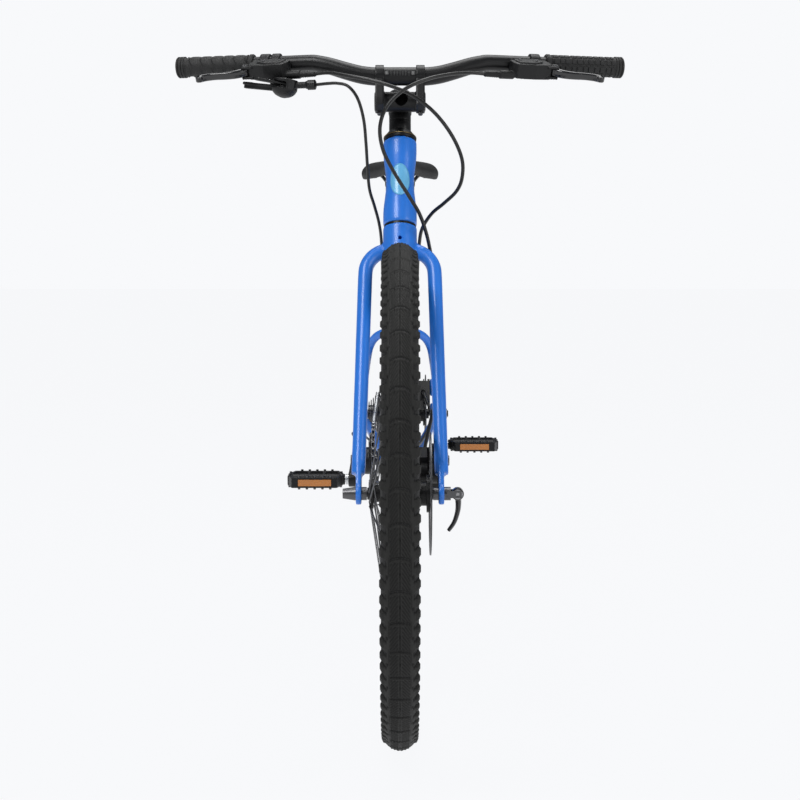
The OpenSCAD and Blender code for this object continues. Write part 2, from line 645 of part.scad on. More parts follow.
// gear shifter frame: a round pod under the right side of the handlebar, tipped outwards
shift_at = [31.5, -27, -38];
module on_shifter() on_bar(-1) translate(shift_at) rotate([0, -9, 0]) children();
module shifter_body() color(satin_black) {
    shifter_shell();
    on_shifter() translate([0, 0, -3]) cylinder(h = 14, r = 3);
}
module shifter_shell() difference() {
    union() {
        on_shifter() union() {
            cylinder(h = 13, r = 18);
            rotate_extrude() polygon(concat(
                [[0, 0.01], [18, 0.01]], [for (a = [0:15:75]) [18 * cos(a), -13 * sin(a)]], [[0, -13]]
            ));
        }
        on_bar(-1) union() {
            translate([-13.5, -26, -34]) rod_x(0, 13, 6.8);
            translate([-2, -26, -34]) rod_x(0, 18, 4.6);
            rod_x(43, 55, bar_r + 3.6);
            translate([43, -20, -36]) cube([12, 24, 31]);
        }
    }
    on_bar(-1) rod_x(0, 200, bar_r);
    on_bar(-1) translate([-15, -26, -34]) rod_x(0, 10, housing_r + 0.25);
    on_lever(-1) translate([25, -34, -11.3]) cube([60, 23.3, 22.6]);
    on_lever(-1) translate([0, -24, -8]) rod_x(0, 30, 5.6);
    on_shifter() {
        translate([0, 0, -0.4]) cylinder(h = 8.6, r = 15.6);
        translate([3, -40, -0.4]) cube([60, 80, 8.6]);
    }
    on_shifter() translate([-30, -40, 13]) cube([28, 80, 30]);
}
module shift_paddle(low, reach, turn) on_shifter() translate([0, 0, low]) rotate([0, 0, turn]) difference() {
    union() {
        cylinder(h = 3.6, r = 11.5);
        linear_extrude(3.6) union() {
            link_2d([0, 0], [reach - 18, -6], 10, 6.5);
            link_2d([reach - 18, -6], [reach, -8], 6.5, 7.5);
        }
    }
    translate([0, 0, -1]) cylinder(h = 8, r = 3.06);
}
module shift_lever_main() color(satin_black) shift_paddle(-0.1, 62, 25);
module shift_lever_release() color(satin_black) shift_paddle(4, 36, -22);

// ---------- hoses ----------
front_hose_path = [
    [130, -345, 886], [118, -348, 886], [98, -357, 886], [68, -379, 881], [36, -402, 871], [6, -414, 856],
    [-17, -418, 834], [-27, -416, 806], [-23, -411, 776], [-8, -408, 746], [13, -403, 713], [27, -394, 690],
    [37, -373, 663], [44, -352, 634], [50, -362, 611], [51, -378, 580], [51, -401, 534], [51, -416, 503],
    [50, -425, 468], [46, -430, 430], [39, -433, 397], [34, -437.5, 373.5], [34, -442, 362]
];
rear_hose_path = [
    [-130, -345, 886], [-118, -348, 886], [-98, -357, 886], [-70, -376, 879], [-41, -388, 872], [-7, -396, 861],
    [20, -399, 848], [48, -397, 826], [71, -390, 797], [85, -380, 767], [86, -370, 742], [79, -356, 724],
    [62, -339, 708], [45, -324, 694], [32, -303, 674], [28, -280, 652], [26, -240, 615], [26, -150, 526],
    [26, -60, 438], [26, 20, 360], [29, 80, 320], [32, 120, 309], [38, 180, 307], [49, 260, 315],
    [60, 360, 327], [59, 395, 341], [52, 420, 362], [47, 435, 373.5], [46.2, 446, 375.7]
];
shift_housing_path = [
    [-123, -355, 869.7], [-115, -357, 870], [-100, -364, 870.5], [-86, -370, 870], [-71, -377, 865],
    [-58, -379, 848], [-50, -375, 820], [-47, -366, 788], [-45.5, -355, 760], [-43, -341, 728],
    [-36, -328, 704], [-30, -308, 681], [-27, -284, 656], [-26, -240, 615], [-26, -150, 526], [-26, -60, 438],
    [-26, 20, 360], [-27, 58, 312], [-27, 66, 276], [-28, 88, 253], [-31, 130, 250], [-38, 200, 268], [-50, 300, 284],
    [-68, 420, 288], [-84, 490, 276], [-97, 545, 277], [-99, 582, 277], [-94, 596, 266], [-87, 586, 254],
    [-86, 570, 252], [-86, 561, 252]
];
hose_r = 2.6;
housing_r = 2.2;
module front_brake_hose() color(satin_black) swept(smooth(front_hose_path, 3), hose_r);
module rear_brake_hose() color(satin_black) swept(smooth(rear_hose_path, 3), hose_r);
module shift_housing() color(satin_black) swept(smooth(shift_housing_path, 3), housing_r);

// ---------- drivetrain ----------
function pitch_r(teeth) = pitch / (2 * sin(180 / teeth));
// a sprocket outline whose teeth stand between the chain's rollers
module sprocket_2d(teeth) {
    r = pitch_r(teeth);
    step = 360 / teeth;
    polygon([for (i = [0:teeth - 1], k = [0:3])
        let (a = step * (i + [0.08, 0.38, 0.62, 0.92][k]), q = k == 1 || k == 2 ? r + 2.3 : r - 3.6)
        q * [cos(a), sin(a)]]);
}
module cassette() color(steel) translate(rear_axle) difference() {
    union() {
        for (i = [0:8]) plate_x(chain_x + (i - carrying) * cog_step - 0.9, 1.8) sprocket_2d(cogs[i]);
        rod_x(chain_x - carrying * cog_step - 1.8, chain_x + carrying * cog_step + 2, 17.5);
        for (i = [5:8]) rod_x(chain_x + (i - 1 - carrying) * cog_step + 0.9,
            chain_x + (i - carrying) * cog_step - 0.9, pitch_r(cogs[i - 1]) - 9);
    }
    rod_x(-80, 0, axle_r + bearing_gap);
    rod_x(-80, -61, 9.2);
    for (i = [6:8], k = [0:5]) rotate([k * 60 + i * 12, 0, 0])
        translate([chain_x + (i - carrying) * cog_step, 0, pitch_r(cogs[i]) - 13]) rod_x(-1.5, 1.5, 4.5);
}
ring_bolt_r = 52;
module chainring() color(satin_black) translate(bb) plate_x(chain_x - 1.1, 2.2) difference() {
    sprocket_2d(ring_teeth);
    difference() {
        circle(pitch_r(ring_teeth) - 11);
        for (i = [0:3]) rotate(45 + i * 90 + crank_angle) translate([ring_bolt_r, 0]) circle(8);
    }
    for (i = [0:3]) rotate(45 + i * 90 + crank_angle) translate([ring_bolt_r, 0]) circle(4.05);
}
arm_start = [-56, -72];
module crank_profile() difference() {
    union() {
        circle(16.5);
        link_2d([0, 0], [-crank_len, 0], 13.5, 10);
        translate([-crank_len, 0]) circle(12.5);
    }
    translate([-crank_len, 0]) circle(7.1);
}
module crank_arm_right() {
    plate_x(-84, 13) crank_profile();
    rod_x(-72, chain_x - 9.1, 17);
    plate_x(chain_x - 6.1, 5) difference() {
        union() {
            circle(24);
            for (i = [0:3]) rotate(45 + i * 90) link_2d([0, 0], [ring_bolt_r, 0], 12, 7.6);
        }
        for (i = [0:3]) rotate(45 + i * 90) translate([ring_bolt_r, 0]) circle(4.05);
    }
    rod_x(-62, chain_x - 6, 24);
}
module crank_right() color(satin_black) at_crank(crank_angle) union() {
    crank_arm_right();
    for (i = [0:3]) rotate([45 + i * 90, 0, 0]) translate([0, ring_bolt_r, 0]) union() {
        rod_x(chain_x - 7.6, chain_x + 1.6, 4);
        rod_x(chain_x - 8.2, chain_x - 6, 6.6);
    }
    rod_x(chain_x - 2, shell_w / 2 + 12, 8);
}
module crank_left() color(satin_black) at_crank(crank_angle + 180) difference() {
    union() {
        plate_x(71, 13) crank_profile();
        rod_x(shell_w / 2 + 5, 72, 15);
    }
    rod_x(0, shell_w / 2 + 12, 8.02);
}
function pedal_at(s) = bb + crank_len * [0, s * -cos(crank_angle), s * -sin(crank_angle)];
// s is 1 for the right pedal, which stands forward, and -1 for the left
module at_pedal(s) translate(pedal_at(s)) mirror([s > 0 ? 1 : 0, 0, 0]) children();
module pedal_spindles() color(steel) for (s = [1, -1]) at_pedal(s) union() {
    rod_x(71.5, 84, 7);
    rod_x(83.9, 88.4, 8.5);
    rod_x(88, pedal_in + pedal_w - 8, pedal_spin_r);
}
module pedal() difference() {
    union() {
        translate([pedal_in, -pedal_l / 2 + 10, -pedal_t / 2]) cube([pedal_w, pedal_l - 20, pedal_t]);
        translate([pedal_in + 9, -pedal_l / 2, -pedal_t / 2 + 1]) cube([pedal_w - 18, pedal_l, pedal_t - 2]);
        translate([pedal_in - 3, 0, 0]) rod_x(0, 10, 9);
        for (s = [-1, 1], k = [0:2]) translate([pedal_in + 20 + 25 * k, s * (pedal_l / 2 - 4), -pedal_t / 2 - 1.5])
            cylinder(h = pedal_t + 3, r = 2.2);
    }
    for (s = [-1, 1]) translate([pedal_in + 12, s * 21 - 11.5, -20]) cube([pedal_w - 24, 23, 40]);
    rod_x(60, pedal_in + pedal_w - 7, pedal_spin_r + bearing_gap);
    for (s = [-1, 1]) translate([pedal_in + 18, s * (pedal_l / 2 + 1) - 4, -5.5]) cube([54, 8, 11]);
}
module pedal_right() color(satin_black) at_pedal(1) pedal();
module pedal_left() color(satin_black) at_pedal(-1) pedal();
module reflectors() for (s = [-1, 1])
    translate([pedal_in + 19, s * (pedal_l / 2 - 1.4) - 1.5, -5.3]) cube([52, 3, 10.6]);
module pedal_reflectors_right() color(amber) at_pedal(1) reflectors();
module pedal_reflectors_left() color(amber) at_pedal(-1) reflectors();

// the chain's route round four sprockets: centre, radius and turning sense, seen with +y to the right
stations = [
    [bb.y, bb.z, pitch_r(ring_teeth), 1], [tension_c.x, tension_c.y, pitch_r(guide_teeth), 1],
    [guide_c.x, guide_c.y, pitch_r(guide_teeth), -1], [rear_axle.y, rear_axle.z, pitch_r(cog_teeth), 1]
];
function leaving(i) =
    let (a = stations[i], b = stations[(i + 1) % 4], d = [b.x - a.x, b.y - a.y])
    atan2(d.y, d.x) + asin((a[3] * a[2] - b[3] * b[2]) / norm(d));
function arc_turn(i) =
    let (s = stations[i][3], t = (leaving(i) - leaving((i + 3) % 4)) * s) s * (t - 360 * floor(t / 360));
ARC_STEP = 9;
// points [y, z, heading] along the chain
chain_route = [for (i = [0:3])
    let (a = stations[i], t0 = leaving((i + 3) % 4), turn = arc_turn(i), n = ceil(abs(turn) / ARC_STEP))
    for (k = [0:n]) let (h = t0 + turn * k / n) [a.x + a[3] * a[2] * sin(h), a.y - a[3] * a[2] * cos(h), h]];
module chain_band() polygon(concat(
    [for (p = chain_route) [p.x + chain_half_h * sin(p.z), p.y - chain_half_h * cos(p.z)]],
    [for (p = chain_route) [p.x - chain_half_h * sin(p.z), p.y + chain_half_h * cos(p.z)]]
), [[for (i = [0:len(chain_route) - 1]) i], [for (i = [0:len(chain_route) - 1]) len(chain_route) + i]]);
module chain() color(dark_steel) for (x = [chain_x - plate_out, chain_x + plate_gap])
    plate_x(x, plate_out - plate_gap) chain_band();

hanger_c = [rear_axle.y + hanger_at.x, rear_axle.z + hanger_at.y];
knuckle_c = [guide_c.x + 22, guide_c.y - 4];
module rear_derailleur() color(satin_black) {
    translate([0, hanger_c.x, hanger_c.y]) rod_x(-90, -61.5, 4.9);
    translate([0, hanger_c.x, hanger_c.y]) rod_x(-92, -rear_old / 2 - rear_drop_t - 0.2, 9.5);
    for (x = [-88, -79]) plate_x(x, 4) link_2d([hanger_c.x + 16, hanger_c.y - 8], [knuckle_c.x + 4, knuckle_c.y], 6, 6);
    plate_x(-90, 14) link_2d(hanger_c, [hanger_c.x + 16, hanger_c.y - 8], 9, 8);
    translate([0, knuckle_c.x, knuckle_c.y]) rod_x(-86, chain_x - 5, 11);
    plate_x(chain_x - 8.4, 2.4) cage_plate();
    plate_x(chain_x + 6, 2) cage_plate();
    for (c = [guide_c, tension_c]) translate([0, c.x, c.y]) rod_x(chain_x - 7, chain_x + 7, 2.5);
    difference() {
        union() {
            rod([-86, 545, 252], [-86, 566, 252], 4.6);
            plate_x(-88, 8) link_2d([545, 252], [549, 282], 5, 4);
        }
        rod([-86, 558, 252], [-86, 570, 252], housing_r + 0.4);
    }
}
module cage_plate() union() {
    link_2d(guide_c, tension_c, 12, 11);
    link_2d(guide_c, knuckle_c, 12, 9);
}
module pulley(c) color(satin_black) translate([0, c.x, c.y]) difference() {
    union() {
        plate_x(chain_x - 1.1, 2.2) sprocket_2d(guide_teeth);
        rod_x(chain_x - 4, chain_x + 4, 7);
    }
    rod_x(-80, 0, 2.56);
}
module guide_pulley() pulley(guide_c);
module tension_pulley() pulley(tension_c);

// ---------- seat ----------
rail_x = 22;
rail_z = saddle_top_z - 44;
clamp_y = on_seat_tube(saddle_pivot).y;
rail_path = [
    [rail_x - 9, clamp_y - 96, rail_z + 17], [rail_x - 5, clamp_y - 74, rail_z + 9], [rail_x, clamp_y - 50, rail_z],
    [rail_x, clamp_y - 15, rail_z], [rail_x, clamp_y + 25, rail_z], [rail_x + 1, clamp_y + 55, rail_z + 2],
    [rail_x + 10, clamp_y + 86, rail_z + 15], [rail_x + 12, clamp_y + 100, rail_z + 17]
];
clamp_c = [0, clamp_y, rail_z];
module rails(r) both_sides() swept(smooth(rail_path, 3), r);
module seatpost() color(satin_black) difference() {
    union() {
        in_seat_tube() translate([0, 0, 262]) cylinder(h = 222, r = post_r);
        in_seat_tube() translate([0, 0, 484]) cylinder(h = 16, r1 = post_r, r2 = 10.5);
        translate(clamp_c + [0, 1, -8.5]) rod_x(-26, 26, 10);
        translate(clamp_c + [-27, -17, -7]) cube([54, 34, 6.9]);
        translate(clamp_c + [-27, -15, 0.1]) cube([54, 30, 6]);
        translate(clamp_c + [0, 0, -6]) cylinder(h = 12, r = 4);
        translate(clamp_c + [0, 0, 6]) cylinder(h = 3.4, r = 6);
    }
    in_seat_tube() translate([0, 0, 250]) cylinder(h = 225, r = post_r - 2.2);
    rails(3.75);
}
module saddle_rails() color(steel) rails(3.5);
module saddle() color(satin_black) difference() {
    saddle_outline();
    rails(3.6);
    translate(clamp_c + [-31, -72, -20]) cube([62, 146, 33]);
}
module saddle_outline() hull() {
    translate([0, clamp_y - 128, saddle_top_z - 17]) sphere(16, $fn = HULL_FN);
    translate([0, clamp_y - 60, saddle_top_z - 14]) both_sides() translate([14, 0, -4]) sphere(14, $fn = HULL_FN);
    both_sides() translate([60, clamp_y + 88, saddle_top_z - 24]) sphere(20, $fn = HULL_FN);
    both_sides() translate([54, clamp_y + 104, saddle_top_z - 22]) sphere(19, $fn = HULL_FN);
    translate([0, clamp_y + 100, saddle_top_z - 18]) sphere(18, $fn = HULL_FN);
}

head_tube();
top_tube();
down_tube();
seat_tube();
bottom_bracket_shell();
chainstays();
seatstays();
rear_dropouts();
seat_collar();
headset_bearings();
bottom_bracket_cups();
rear_caliper();
rear_derailleur();
chain();
rear_brake_hose();
shift_housing();
rear_axle_parts();  // rear_axle
seatpost();
saddle_rails();
saddle();
fork();
headset_cover();
stem();
stem_caps();
stem_bolts();
handlebar();
grips();
brake_body_left();
brake_body_right();
shifter_body();
front_caliper();
front_brake_hose();
front_axle_parts();  // front_axle
brake_lever_left();
brake_lever_right();
shift_lever_main();
shift_lever_release();
front_qr_lever();
rear_qr_lever();
translate(front_axle) tyre();  // front_tyre
translate(front_axle) rim();  // front_rim
translate(front_axle)  // front_spokes
    spokes(front_flange[0], front_flange[1], front_flange[2], front_flange[3]);
translate(front_axle) front_hub();
translate(front_axle) rotor(front_rotor_x);  // front_rotor
translate(rear_axle) tyre();  // rear_tyre
translate(rear_axle) rim();  // rear_rim
translate(rear_axle)  // rear_spokes
    spokes(rear_flange[0], rear_flange[1], rear_flange[2], rear_flange[3]);
translate(rear_axle) rear_hub();
translate(rear_axle) rotor(rear_rotor_x);  // rear_rotor
cassette();
crank_right();
crank_left();
chainring();
pedal_spindles();
pedal_right();
pedal_left();
pedal_reflectors_right();
pedal_reflectors_left();
guide_pulley();
tension_pulley();
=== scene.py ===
"""City bicycle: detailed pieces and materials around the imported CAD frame.

Shapes are worked out in millimetres, in the row frame or in a frame named below, and made in metres.
"""
from math import asin, atan2, copysign, cos, degrees, exp, hypot, pi, radians, sin

import bpy
import numpy as np
from mathutils import Matrix, Vector


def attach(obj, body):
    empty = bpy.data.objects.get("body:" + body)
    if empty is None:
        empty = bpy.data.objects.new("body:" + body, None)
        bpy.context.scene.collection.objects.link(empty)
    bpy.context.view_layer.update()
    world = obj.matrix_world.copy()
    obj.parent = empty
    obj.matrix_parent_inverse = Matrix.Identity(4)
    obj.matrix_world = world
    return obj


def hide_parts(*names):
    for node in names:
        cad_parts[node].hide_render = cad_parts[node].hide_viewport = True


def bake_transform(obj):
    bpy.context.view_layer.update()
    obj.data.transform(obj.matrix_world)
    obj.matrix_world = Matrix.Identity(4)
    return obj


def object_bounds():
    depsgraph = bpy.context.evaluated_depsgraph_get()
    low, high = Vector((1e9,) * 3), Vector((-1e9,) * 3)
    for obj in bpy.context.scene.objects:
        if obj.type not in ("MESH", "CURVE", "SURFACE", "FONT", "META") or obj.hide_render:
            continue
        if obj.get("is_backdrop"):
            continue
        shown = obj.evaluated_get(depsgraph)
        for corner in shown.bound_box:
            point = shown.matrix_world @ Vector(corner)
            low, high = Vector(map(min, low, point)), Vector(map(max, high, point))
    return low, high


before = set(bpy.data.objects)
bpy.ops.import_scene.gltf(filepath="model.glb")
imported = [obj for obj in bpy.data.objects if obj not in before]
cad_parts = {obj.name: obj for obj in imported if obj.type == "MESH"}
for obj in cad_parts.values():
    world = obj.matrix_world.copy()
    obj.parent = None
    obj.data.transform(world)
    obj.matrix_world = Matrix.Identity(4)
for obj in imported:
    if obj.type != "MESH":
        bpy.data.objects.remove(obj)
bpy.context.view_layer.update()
MM = 0.001

# ---------- frames of reference, in millimetres ----------
WHEEL_R = 324
WHEELBASE = 1048
FRONT_AXLE = Vector((0, -WHEELBASE / 2, WHEEL_R))
REAR_AXLE = Vector((0, WHEELBASE / 2, WHEEL_R))
BB = Vector((0, 98, 284))
HEAD_ANGLE = radians(70)
SEAT_ANGLE = radians(73)
FORK_OFFSET = 44
STEER_FOOT = FRONT_AXLE + FORK_OFFSET * Vector((0, sin(HEAD_ANGLE), -cos(HEAD_ANGLE)))


def turn(angle, axis):
    """A rotation by an angle in degrees."""
    return Matrix.Rotation(radians(angle), 4, axis)


def move(x=0, y=0, z=0):
    return Matrix.Translation((x, y, z))


ROW = Matrix.Identity(4)
MIRROR = Matrix.Diagonal((-1, 1, 1, 1))
STEERING = move(*STEER_FOOT) @ turn(-20, "X")
SEAT_TUBE = move(*BB) @ turn(-17, "X")
BAR_CENTRE = STEERING @ Vector((0, -60, 590))
BAR_BEND = Vector((125, 9, 20))
BAR_END = Vector((317, 48, 19))
BAR_DIR = BAR_END - BAR_BEND
BAR_LEN = BAR_DIR.length
BAR_SWEEP = degrees(atan2(BAR_DIR.y, BAR_DIR.x))
BAR_UP = degrees(atan2(BAR_DIR.z, hypot(BAR_DIR.x, BAR_DIR.y)))
BAR_LEFT = move(*(BAR_CENTRE + BAR_BEND)) @ turn(BAR_SWEEP, "Z") @ turn(-BAR_UP, "Y")
BAR = {1: BAR_LEFT, -1: MIRROR @ BAR_LEFT}
LEVER = {s: BAR[s] @ turn(27, "X") for s in (1, -1)}
SHIFTER = BAR[-1] @ move(31.5, -27, -38) @ turn(-9, "Y")
FRONT_WHEEL = move(*FRONT_AXLE)
REAR_WHEEL = move(*REAR_AXLE)


# ---------- meshes as (points, faces) in millimetres ----------
def unit(v):
    return v / np.linalg.norm(v)


def smooth_path(points, n):
    """Points along a smooth curve through the given ones."""
    p = np.array(points, float)
    p = np.vstack([p[:1], p, p[-1:]])
    out = []
    for i in range(1, len(p) - 2):
        a, b, c, d = p[i - 1 : i + 3]
        for k in range(n):
            t = k / n
            bend = (2 * a - 5 * b + 4 * c - d) * t**2 + (3 * b - a - 3 * c + d) * t**3
            out.append(0.5 * (2 * b + (c - a) * t + bend))
    return np.array(out + [p[-2]])


def tube(points, radius, sides=20):
    """A tube along points; radius is one number or some spread evenly along it."""
    p = np.array(points, float)
    n = len(p)
    r = np.interp(np.linspace(0, 1, n), np.linspace(0, 1, np.size(radius)), np.atleast_1d(radius))
    tangent = np.array([unit(p[min(i + 1, n - 1)] - p[max(i - 1, 0)]) for i in range(n)])
    side = np.cross(tangent[0], (1, 0, 0) if abs(tangent[0][0]) < 0.9 else (0, 0, 1))
    angle = np.linspace(0, 2 * pi, sides, endpoint=False)
    verts = []
    for i in range(n):
        side = unit(side - (side @ tangent[i]) * tangent[i])
        up = np.cross(tangent[i], side)
        verts += list(p[i] + r[i] * (np.cos(angle)[:, None] * side + np.sin(angle)[:, None] * up))
    return np.array(verts), walls(n, sides) + caps(n, sides)


def walls(rings, sides, closed=False):
    """Quads between rings of points; closed joins the last ring to the first."""
    last = rings if closed else rings - 1
    faces = []
    for i in range(last):
        a, b = i * sides, (i + 1) % rings * sides
        for k in range(sides):
            faces.append((a + k, a + (k + 1) % sides, b + (k + 1) % sides, b + k))
    return faces


def caps(rings, sides):
    """The flat faces that close the first and last rings."""
    return [tuple(range(sides - 1, -1, -1)), tuple(range((rings - 1) * sides, rings * sides))]


def lathe(profile, sides=64, axis="Z"):
    """A solid of revolution of (along, radius) pairs; it is closed at both ends."""
    angle = np.linspace(0, 2 * pi, sides, endpoint=False)
    verts = []
    for along, radius in profile:
        radius = max(radius, 0.01)
        for a in angle:
            c, s = radius * cos(a), radius * sin(a)
            verts.append({"Z": (c, s, along), "X": (along, c, s), "Y": (s, along, c)}[axis])
    return np.array(verts), walls(len(profile), sides) + caps(len(profile), sides)


def rounded(profile_from, profile_to, radius, edge=0.8):
    """The profile of a cylinder with rounded edges."""
    a, b, r, e = profile_from, profile_to, radius, edge
    return [(a, r - e), (a + 0.3 * e, r - 0.3 * e), (a + e, r),
            (b - e, r), (b - 0.3 * e, r - 0.3 * e), (b, r - e)]


def prism(outline, low, high, axis="Z"):
    """An outline of (u, v) pairs drawn out from low to high."""
    n = len(outline)
    verts = []
    for w in (low, high):
        for u, v in outline:
            verts.append({"Z": (u, v, w), "X": (w, u, v), "Y": (v, w, u)}[axis])
    return np.array(verts, float), walls(2, n) + caps(2, n)


def box(low, high):
    (x0, y0, z0), (x1, y1, z1) = low, high
    return prism([(x0, y0), (x1, y0), (x1, y1), (x0, y1)], z0, z1)


def link(p, q, rp, rq, n=12):
    """The outline of a bar with round ends between two points of a plane."""
    p, q = np.array(p, float), np.array(q, float)
    a = atan2(*(q - p)[::-1])
    ends = [(p, rp, a + pi / 2), (q, rq, a - pi / 2)]
    return [tuple(c + r * np.array((cos(s + pi * k / n), sin(s + pi * k / n))))
            for c, r, s in ends for k in range(n + 1)]


def moved(shape, matrix):
    """A shape placed by a matrix; its faces are turned over when the matrix mirrors it."""
    verts, faces = shape
    m = np.array(matrix)
    out = verts @ m[:3, :3].T + m[:3, 3]
    if np.linalg.det(m[:3, :3]) < 0:
        faces = [tuple(reversed(f)) for f in faces]
    return out, faces


def joined(*shapes):
    verts, faces, at = [], [], 0
    for v, f in shapes:
        verts.append(v)
        faces += [tuple(i + at for i in face) for face in f]
        at += len(v)
    return np.vstack(verts), faces


def both(shape):
    """A shape and its mirror image on the other side of the bicycle."""
    return joined(shape, moved(shape, MIRROR))


def rel(base, *offsets):
    return [tuple(np.array(base) + np.array(o)) for o in offsets]


# ---------- objects ----------
def add(name, data):
    obj = bpy.data.objects.new(name, data)
    bpy.context.scene.collection.objects.link(obj)
    return obj


def make(name, shape, matrix=ROW):
    verts, faces = moved(shape, matrix)
    mesh = bpy.data.meshes.new(name)
    mesh.from_pydata((verts * MM).tolist(), [], faces)
    mesh.validate()
    obj = add(name, mesh)
    mesh.polygons.foreach_set("use_smooth", [True] * len(mesh.polygons))
    return obj


def applied(obj):
    """Applies the object's modifiers to its mesh."""
    bpy.context.view_layer.update()
    shaped = obj.evaluated_get(bpy.context.evaluated_depsgraph_get())
    mesh = bpy.data.meshes.new_from_object(shaped)
    obj.modifiers.clear()
    obj.data = mesh
    mesh.polygons.foreach_set("use_smooth", [True] * len(mesh.polygons))
    return obj


def fuse(name, shape, voxel, passes=4, matrix=ROW, cut=None):
    """Welds overlapping closed solids into one skin with soft inside corners, then cuts the bores."""
    obj = make(name, shape, matrix)
    remesh = obj.modifiers.new("weld", "REMESH")
    remesh.mode = "VOXEL"
    remesh.voxel_size = voxel * MM
    relax = obj.modifiers.new("relax", "SMOOTH")
    relax.factor = 0.5
    relax.iterations = passes
    applied(obj)
    if cut is not None:
        tool = make(name + "_cut", cut, matrix)
        bore = obj.modifiers.new("bore", "BOOLEAN")
        bore.object = tool
        bore.operation = "DIFFERENCE"
        bore.solver = "EXACT"
        applied(obj)
        bpy.data.objects.remove(tool)
        soften(obj, 35)
    return obj


def soften(obj, sharp=30):
    """Smooth shading that keeps edges sharper than an angle in degrees."""
    obj.data.polygons.foreach_set("use_smooth", [True] * len(obj.data.polygons))
    obj.data.set_sharp_from_angle(angle=radians(sharp))
    return obj


def place(obj, body, look, *nodes):
    """Gives a piece its body and its material, and hides the CAD nodes that it stands for."""
    material, slot = look
    obj.data.materials.clear()
    obj.data.materials.append(material)
    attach(obj, body)
    if nodes:
        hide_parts(*nodes)
    return obj


# ---------- materials ----------
def settings(node, **values):
    """Sets a shader node's inputs; a name's underscores stand for spaces."""
    for name, value in values.items():
        node.inputs[name.replace("_", " ")].default_value = value
    return node


def finish(slot, name, colour, rough, metal=0.0, grain=(900, 0.15), mottle=0.12, wear=0.06, coat=0.0,
           pattern="noise", specular=0.5, stretch=(1, 1, 1)):
    """A material with fine grain, uneven gloss and slight colour variation, with its slot."""
    mat = bpy.data.materials.new(name)
    mat.use_nodes = True
    nodes, links = mat.node_tree.nodes, mat.node_tree.links
    shader = settings(nodes["Principled BSDF"], Metallic=metal, Coat_Weight=coat, Coat_Roughness=0.12,
                      Specular_IOR_Level=specular)
    where = nodes.new("ShaderNodeTexCoord")
    scaled = settings(nodes.new("ShaderNodeMapping"), Scale=stretch)
    links.new(where.outputs["Object"], scaled.inputs["Vector"])
    broad = settings(nodes.new("ShaderNodeTexNoise"), Scale=14, Detail=5)
    links.new(scaled.outputs["Vector"], broad.inputs["Vector"])
    ramp = nodes.new("ShaderNodeValToRGB")
    low, high = ramp.color_ramp.elements
    low.position, high.position = 0.3, 0.7
    low.color = (*(c * (1 - mottle) for c in colour), 1)
    high.color = (*(min(1, c * (1 + mottle)) for c in colour), 1)
    links.new(broad.outputs["Fac"], ramp.inputs["Fac"])
    links.new(ramp.outputs["Color"], shader.inputs["Base Color"])
    gloss = settings(nodes.new("ShaderNodeMapRange"), To_Min=rough - wear, To_Max=rough + wear)
    links.new(broad.outputs["Fac"], gloss.inputs["Value"])
    links.new(gloss.outputs["Result"], shader.inputs["Roughness"])
    if pattern == "cells":
        fine = nodes.new("ShaderNodeTexVoronoi")
        fine.feature = "SMOOTH_F1"
        height = fine.outputs["Distance"]
    else:
        fine = settings(nodes.new("ShaderNodeTexNoise"), Detail=3)
        height = fine.outputs["Fac"]
    settings(fine, Scale=grain[0])
    links.new(scaled.outputs["Vector"], fine.inputs["Vector"])
    bump = settings(nodes.new("ShaderNodeBump"), Strength=grain[1], Distance=0.0003)
    links.new(height, bump.inputs["Height"])
    links.new(bump.outputs["Normal"], shader.inputs["Normal"])
    return mat, slot


PAINT = finish("painted_frame", "frame_enamel", (0.018, 0.19, 0.74), 0.36, grain=(420, 0.05),
               mottle=0.04, wear=0.04, coat=0.25)
SATIN = finish("satin_black_metal", "satin_black", (0.005, 0.005, 0.0055), 0.38, grain=(1400, 0.12),
               mottle=0.2, specular=0.36)
PLASTIC = finish("black_plastic", "moulded_plastic", (0.005, 0.005, 0.0055), 0.46, grain=(1500, 0.3),
                 pattern="cells", specular=0.36)
GLOSS = finish("gloss_black", "gloss_black", (0.008, 0.008, 0.009), 0.2, grain=(700, 0.05), coat=0.5)
TREAD = finish("tyre_rubber", "tyre_tread", (0.021, 0.021, 0.020), 0.66, grain=(1100, 0.3), mottle=0.15,
               specular=0.22)


def painted_groove_shade(mat):
    """Paints shade into the grooves, darker than the tops of the tread, by the mesh's relief attribute."""
    nodes, links = mat.node_tree.nodes, mat.node_tree.links
    shader = nodes["Principled BSDF"]
    colour = shader.inputs["Base Color"].links[0].from_socket
    relief = nodes.new("ShaderNodeAttribute")
    relief.attribute_name = "relief"
    level = settings(nodes.new("ShaderNodeMapRange"), To_Min=0.12)
    links.new(relief.outputs["Fac"], level.inputs["Value"])
    shade = nodes.new("ShaderNodeMix")
    shade.data_type = "RGBA"
    # painted shade: the near-black colour that the groove bottoms are mixed towards
    shade.inputs["A"].default_value = (0.002, 0.002, 0.002, 1)
    links.new(level.outputs["Result"], shade.inputs["Factor"])
    links.new(colour, shade.inputs["B"])
    links.new(shade.outputs["Result"], shader.inputs["Base Color"])
